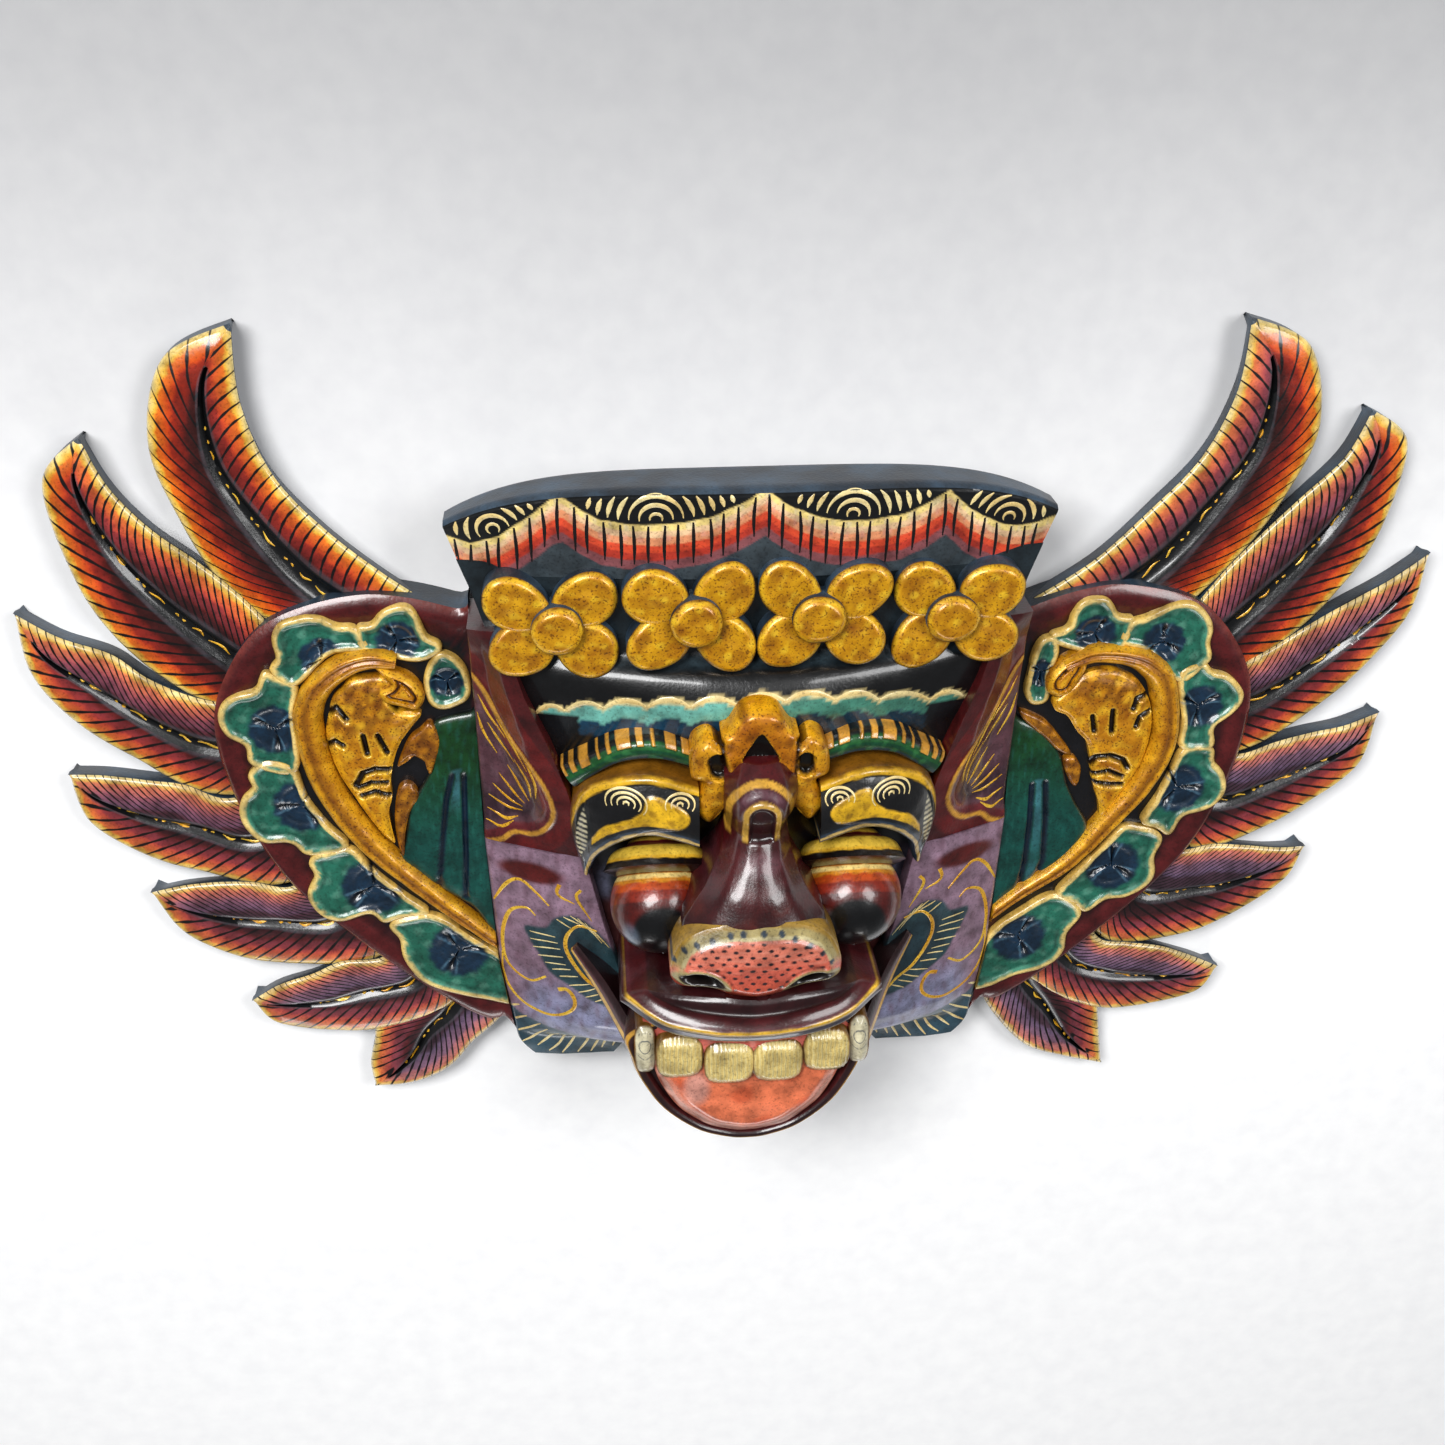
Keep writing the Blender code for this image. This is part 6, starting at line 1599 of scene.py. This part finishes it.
cheekLines = {
    "gold": [
        ([(-111, -78), (-104, -66), (-98, -62), (-92, -66), (-86, -72)], (0.8, 2.0, 1.8, 1.0)),
        ([(-92, -79), (-96, -76), (-103, -80), (-107, -92), (-107, -106), (-103, -113), (-96, -116),
          (-89, -111)],
         (0.9, 2.2, 2.0, 1.6, 1.4)),
        ([(-108, -104), (-108, -118), (-102, -129), (-93, -133), (-84, -132), (-78, -127), (-77, -121),
          (-80, -116), (-84, -117)], (0.8, 1.6, 1.9, 1.9, 2.6)),
        ([(-81, -60), (-82, -65), (-75, -69)], (2.2, 1.6, 0.5)),
        ([(-72, -62), (-74, -66), (-68, -77)], (1.8, 1.5, 0.5)),
        ([(-66, -82), (-74, -80), (-79, -86), (-79, -95), (-72, -107), (-64, -114), (-58, -122)],
         (1.0, 2.0, 2.4, 1.8, 1.0)),
    ],
    "cream": [
        [(-83, -78), (-77, -81)], [(-80, -76), (-73, -79)], [(-77, -75), (-69, -81)],
        [(-74, -76), (-66, -85)], [(-71, -78), (-64, -88)], [(-69, -80), (-61, -90)],
        [(-95, -88), (-84, -88)], [(-95, -92), (-83, -91)], [(-94, -96), (-82, -94)],
        [(-92, -100), (-81, -98)], [(-89, -103), (-80, -102)], [(-86, -106), (-78, -104)],
        [(-83, -109), (-75, -107)], [(-79, -113), (-70, -110)], [(-75, -116), (-67, -112)],
        [(-72, -118), (-65, -115)], [(-68, -120), (-62, -117)]],
    "fringe": [
        [(-108, -136), (-102, -133)], [(-107, -144), (-99, -139)], [(-106, -151), (-99, -147), (-93, -142)],
        [(-102, -156), (-96, -152), (-90, -145)], [(-95, -158), (-90, -153), (-85, -147)],
        [(-90, -161), (-85, -156), (-81, -148)], [(-84, -162), (-80, -156), (-76, -148)],
        [(-77, -162), (-73, -156), (-70, -149)], [(-71, -162), (-68, -156), (-65, -149)],
        [(-66, -160), (-64, -155), (-61, -149)], [(-61, -159), (-59, -154), (-57, -150)],
        [(-57, -157), (-54, -150)]],
    "ear": [
        [(-95, -29), (-101, -29), (-109, -24)], [(-95, -27), (-100, -25), (-107, -18)],
        [(-94, -25), (-98, -21), (-104, -12)], [(-92, -23), (-95, -17), (-100, -7)],
        [(-91, -21), (-92, -13), (-97, -2)], [(-89, -20), (-89, -11), (-93, 1)],
        [(-97, -32), (-103, -34), (-110, -31)], [(-99, -34), (-105, -38), (-111, -37)],
        [(-110, 26), (-106, 17), (-100, 8)], [(-107, 13), (-102, 4), (-97, -4)],
        [(-111, 17), (-109, 8), (-104, -2)], [(-103, 16), (-97, 5), (-92, -6)]],
}


def cheekStrokes():
    gold, cream, earGold = [], [], []
    for side in (-1, 1):
        for points, widths in cheekLines["gold"]:
            gold.append((flip(points, -side), widths))
        for points in cheekLines["cream"]:
            cream.append((flip(points, -side), (0.35, 0.85, 0.75, 0.3)))
        for points in cheekLines["fringe"]:
            cream.append((flip(points, -side), (0.7, 1.5, 1.4, 0.6)))
        for points in cheekLines["ear"]:
            earGold.append((flip(points, -side), (0.4, 1.5, 1.2, 0.4)))
    strokes("mask_cheek_gold", "mask", "goldStroke", gold, cheeks)
    strokes("mask_cheek_lines", "mask", "creamStroke", cream, cheeks)
    strokes("mask_ear_lines", "mask", "goldStroke", earGold, ears)


def browStrokes():
    lines = []
    for side in (-1, 1):
        for cx, cy, most in ((52.5, -5.5, 9.5), (31.5, -5.0, 6.0)):
            for r in np.arange(1.2, most, 2.3):
                a = np.radians(np.linspace(-20, 215, 16))
                points = np.stack([side * (cx + r * np.cos(a)), cy + 0.75 * r * np.sin(a)], -1)
                lines.append((points, (0.5, 1.25, 1.25, 0.5)))
    strokes("mask_brow_lines", "mask", "creamStroke", lines, brows)


def bandStrokes():
    # The scalloped cream line along the top of the teal forehead band
    joints = np.array(head["scallops"], float)
    lines = []
    for (x0, y0), (x1, y1) in zip(joints, joints[1:]):
        t = np.linspace(0.02, 0.98, 9)
        arc = y0 + (y1 - y0) * t + 3.4 * (1 - (2 * t - 1) ** 2) - 1.2
        lines.append((np.stack([x0 + (x1 - x0) * t, arc], -1), (1.4, 2.6, 2.4, 1.2)))
    strokes("mask_band_scallops", "mask", "creamStroke", lines, [headBody])


def quillStrokes():
    # A dotted gold line down each quill, broken into dashes near its root
    for (node, number), (piece, vein) in quills.items():
        steps = np.r_[0, np.cumsum(np.linalg.norm(np.diff(vein, axis=0), axis=1))]
        lines = []
        at = 0.14 * steps[-1]
        for long, rest in ((10, 2.5), (5.5, 3.5), (1.6, 1.8), (1.8, 5.5), (7.5, 2.2), (1.8, 1.8), (1.4, 6.5),
                           (5.0, 2.4), (1.8, 4.0), (1.4, 5.0), (3.6, 3.0), (1.4, 4.0), (1.4, 9.0)):
            if at + long > 0.84 * steps[-1]:
                break
            share = at / steps[-1]
            span = np.linspace(at, at + long, 6)
            dash = np.stack([np.interp(span, steps, vein[:, k]) for k in range(2)], -1)
            across = np.array([dash[0, 1] - dash[-1, 1], dash[-1, 0] - dash[0, 0]]) / long
            hook = (0.9 if long > 3 else 0.3) * (1 - share) * np.sin(np.linspace(0, 4.2, 6) + at)
            lines.append((dash + across * hook[:, None], (0.4, 1.4 - 0.5 * share, 1.1 - 0.5 * share, 0.3)))
            at += long + rest
        strokes(f"{node}_quill_{number}", node, "goldStroke", lines, [piece])


crownStrokes()
bandStrokes()
quillStrokes()
cheekStrokes()
browStrokes()
print("strokes painted")


# Camera, floor and lights

view = {"turn": -4.6, "lift": 26.5, "distance": 717.0, "aim": (-10.0, 0.0, 15.0),   # degrees and mm
        "lens": 42.35}
turn, lift = math.radians(view["turn"]), math.radians(view["lift"])
outwardView = Vector((math.sin(turn) * math.cos(lift), math.sin(lift), math.cos(turn) * math.cos(lift)))
aim = Vector(view["aim"]) + Vector((aside, rise, 0))
camera = bpy.data.objects.new("camera", bpy.data.cameras.new("camera"))
bpy.context.scene.collection.objects.link(camera)
right = (-outwardView).cross(Vector((0, 1, 0))).normalized()
upward = right.cross(-outwardView)
turned = Matrix((right, upward, outwardView)).transposed()
camera.matrix_world = Matrix.Translation((aim + outwardView * view["distance"]) * mm) @ turned.to_4x4()
camera.data.sensor_width = 36
camera.data.lens = view["lens"]
camera.data.clip_start = 0.01
bpy.context.scene.camera = camera

floorMesh = bpy.data.meshes.new("floor")
half = 4.0
floorMesh.from_pydata([(-half, -half, 0), (half, -half, 0), (half, half, 0), (-half, half, 0)], [],
                      [(0, 1, 2, 3)])
floor = bpy.data.objects.new("floor", floorMesh)
bpy.context.scene.collection.objects.link(floor)
floor.location.z = -0.0002
floorPaint = bpy.data.materials.new("palePaperFloor")
floorPaint.use_nodes = True
tree = floorPaint.node_tree
spot = add(tree, "TexCoord").outputs["Object"]
grain = add(tree, "TexNoise", {"Scale": 90.0, "Detail": 3.0}, {"Vector": spot})
tone = add(tree, "ValToRGB", {}, {"Fac": grain}, [(0.3, "#F8F8F9"), (0.7, "#FFFFFF")])
# The floor is painted darker towards the back: a painted shade standing for the light falling off
back = add(tree, "SeparateXYZ", {}, {"Vector": spot})
back = add(tree, "MapRange", {"From Min": -0.12, "From Max": 0.36}, {"Value": back.outputs["Y"]})
shade = add(tree, "ValToRGB", {}, {"Fac": back}, [
    (0.0, "#FDFDFD"), (0.35, "#F2F2F2"), (0.58, "#CECECF"), (0.8, "#AAAAAB"), (1.0, "#8C8C8D")])
tone = add(tree, "MixRGB", {"blend_type": "MULTIPLY", "Fac": 1.0}, {"Color1": tone, "Color2": shade})
tree.links.new(tone.outputs[0], tree.nodes["Principled BSDF"].inputs["Base Color"])
tree.nodes["Principled BSDF"].inputs["Roughness"].default_value = 0.7
floorMesh.materials.append(floorPaint)


def softbox(name, place, target, size, power):
    lamp = bpy.data.lights.new(name, "AREA")
    lamp.shape = "RECTANGLE"
    lamp.size, lamp.size_y = size
    lamp.energy = power
    item = bpy.data.objects.new(name, lamp)
    bpy.context.scene.collection.objects.link(item)
    item.location = place
    item.rotation_euler = (Vector(target) - Vector(place)).to_track_quat("-Z", "Y").to_euler()


softbox("keyLight", (-0.6, 0.85, 1.15), (0, 0, 0.03), (0.8, 0.5), 25)
softbox("fillLight", (0.8, 0.6, 1.1), (0, 0, 0.03), (0.7, 0.5), 11)
softbox("frontLight", (-0.1, -1.7, 0.6), (0, -0.1, 0.03), (1.2, 0.4), 8)
world = bpy.data.worlds.new("studio")
world.use_nodes = True
world.node_tree.nodes["Background"].inputs["Color"].default_value = paint("#F2F4F8")
world.node_tree.nodes["Background"].inputs["Strength"].default_value = 0.15
bpy.context.scene.world = world
bpy.context.scene.view_settings.view_transform = "Standard"
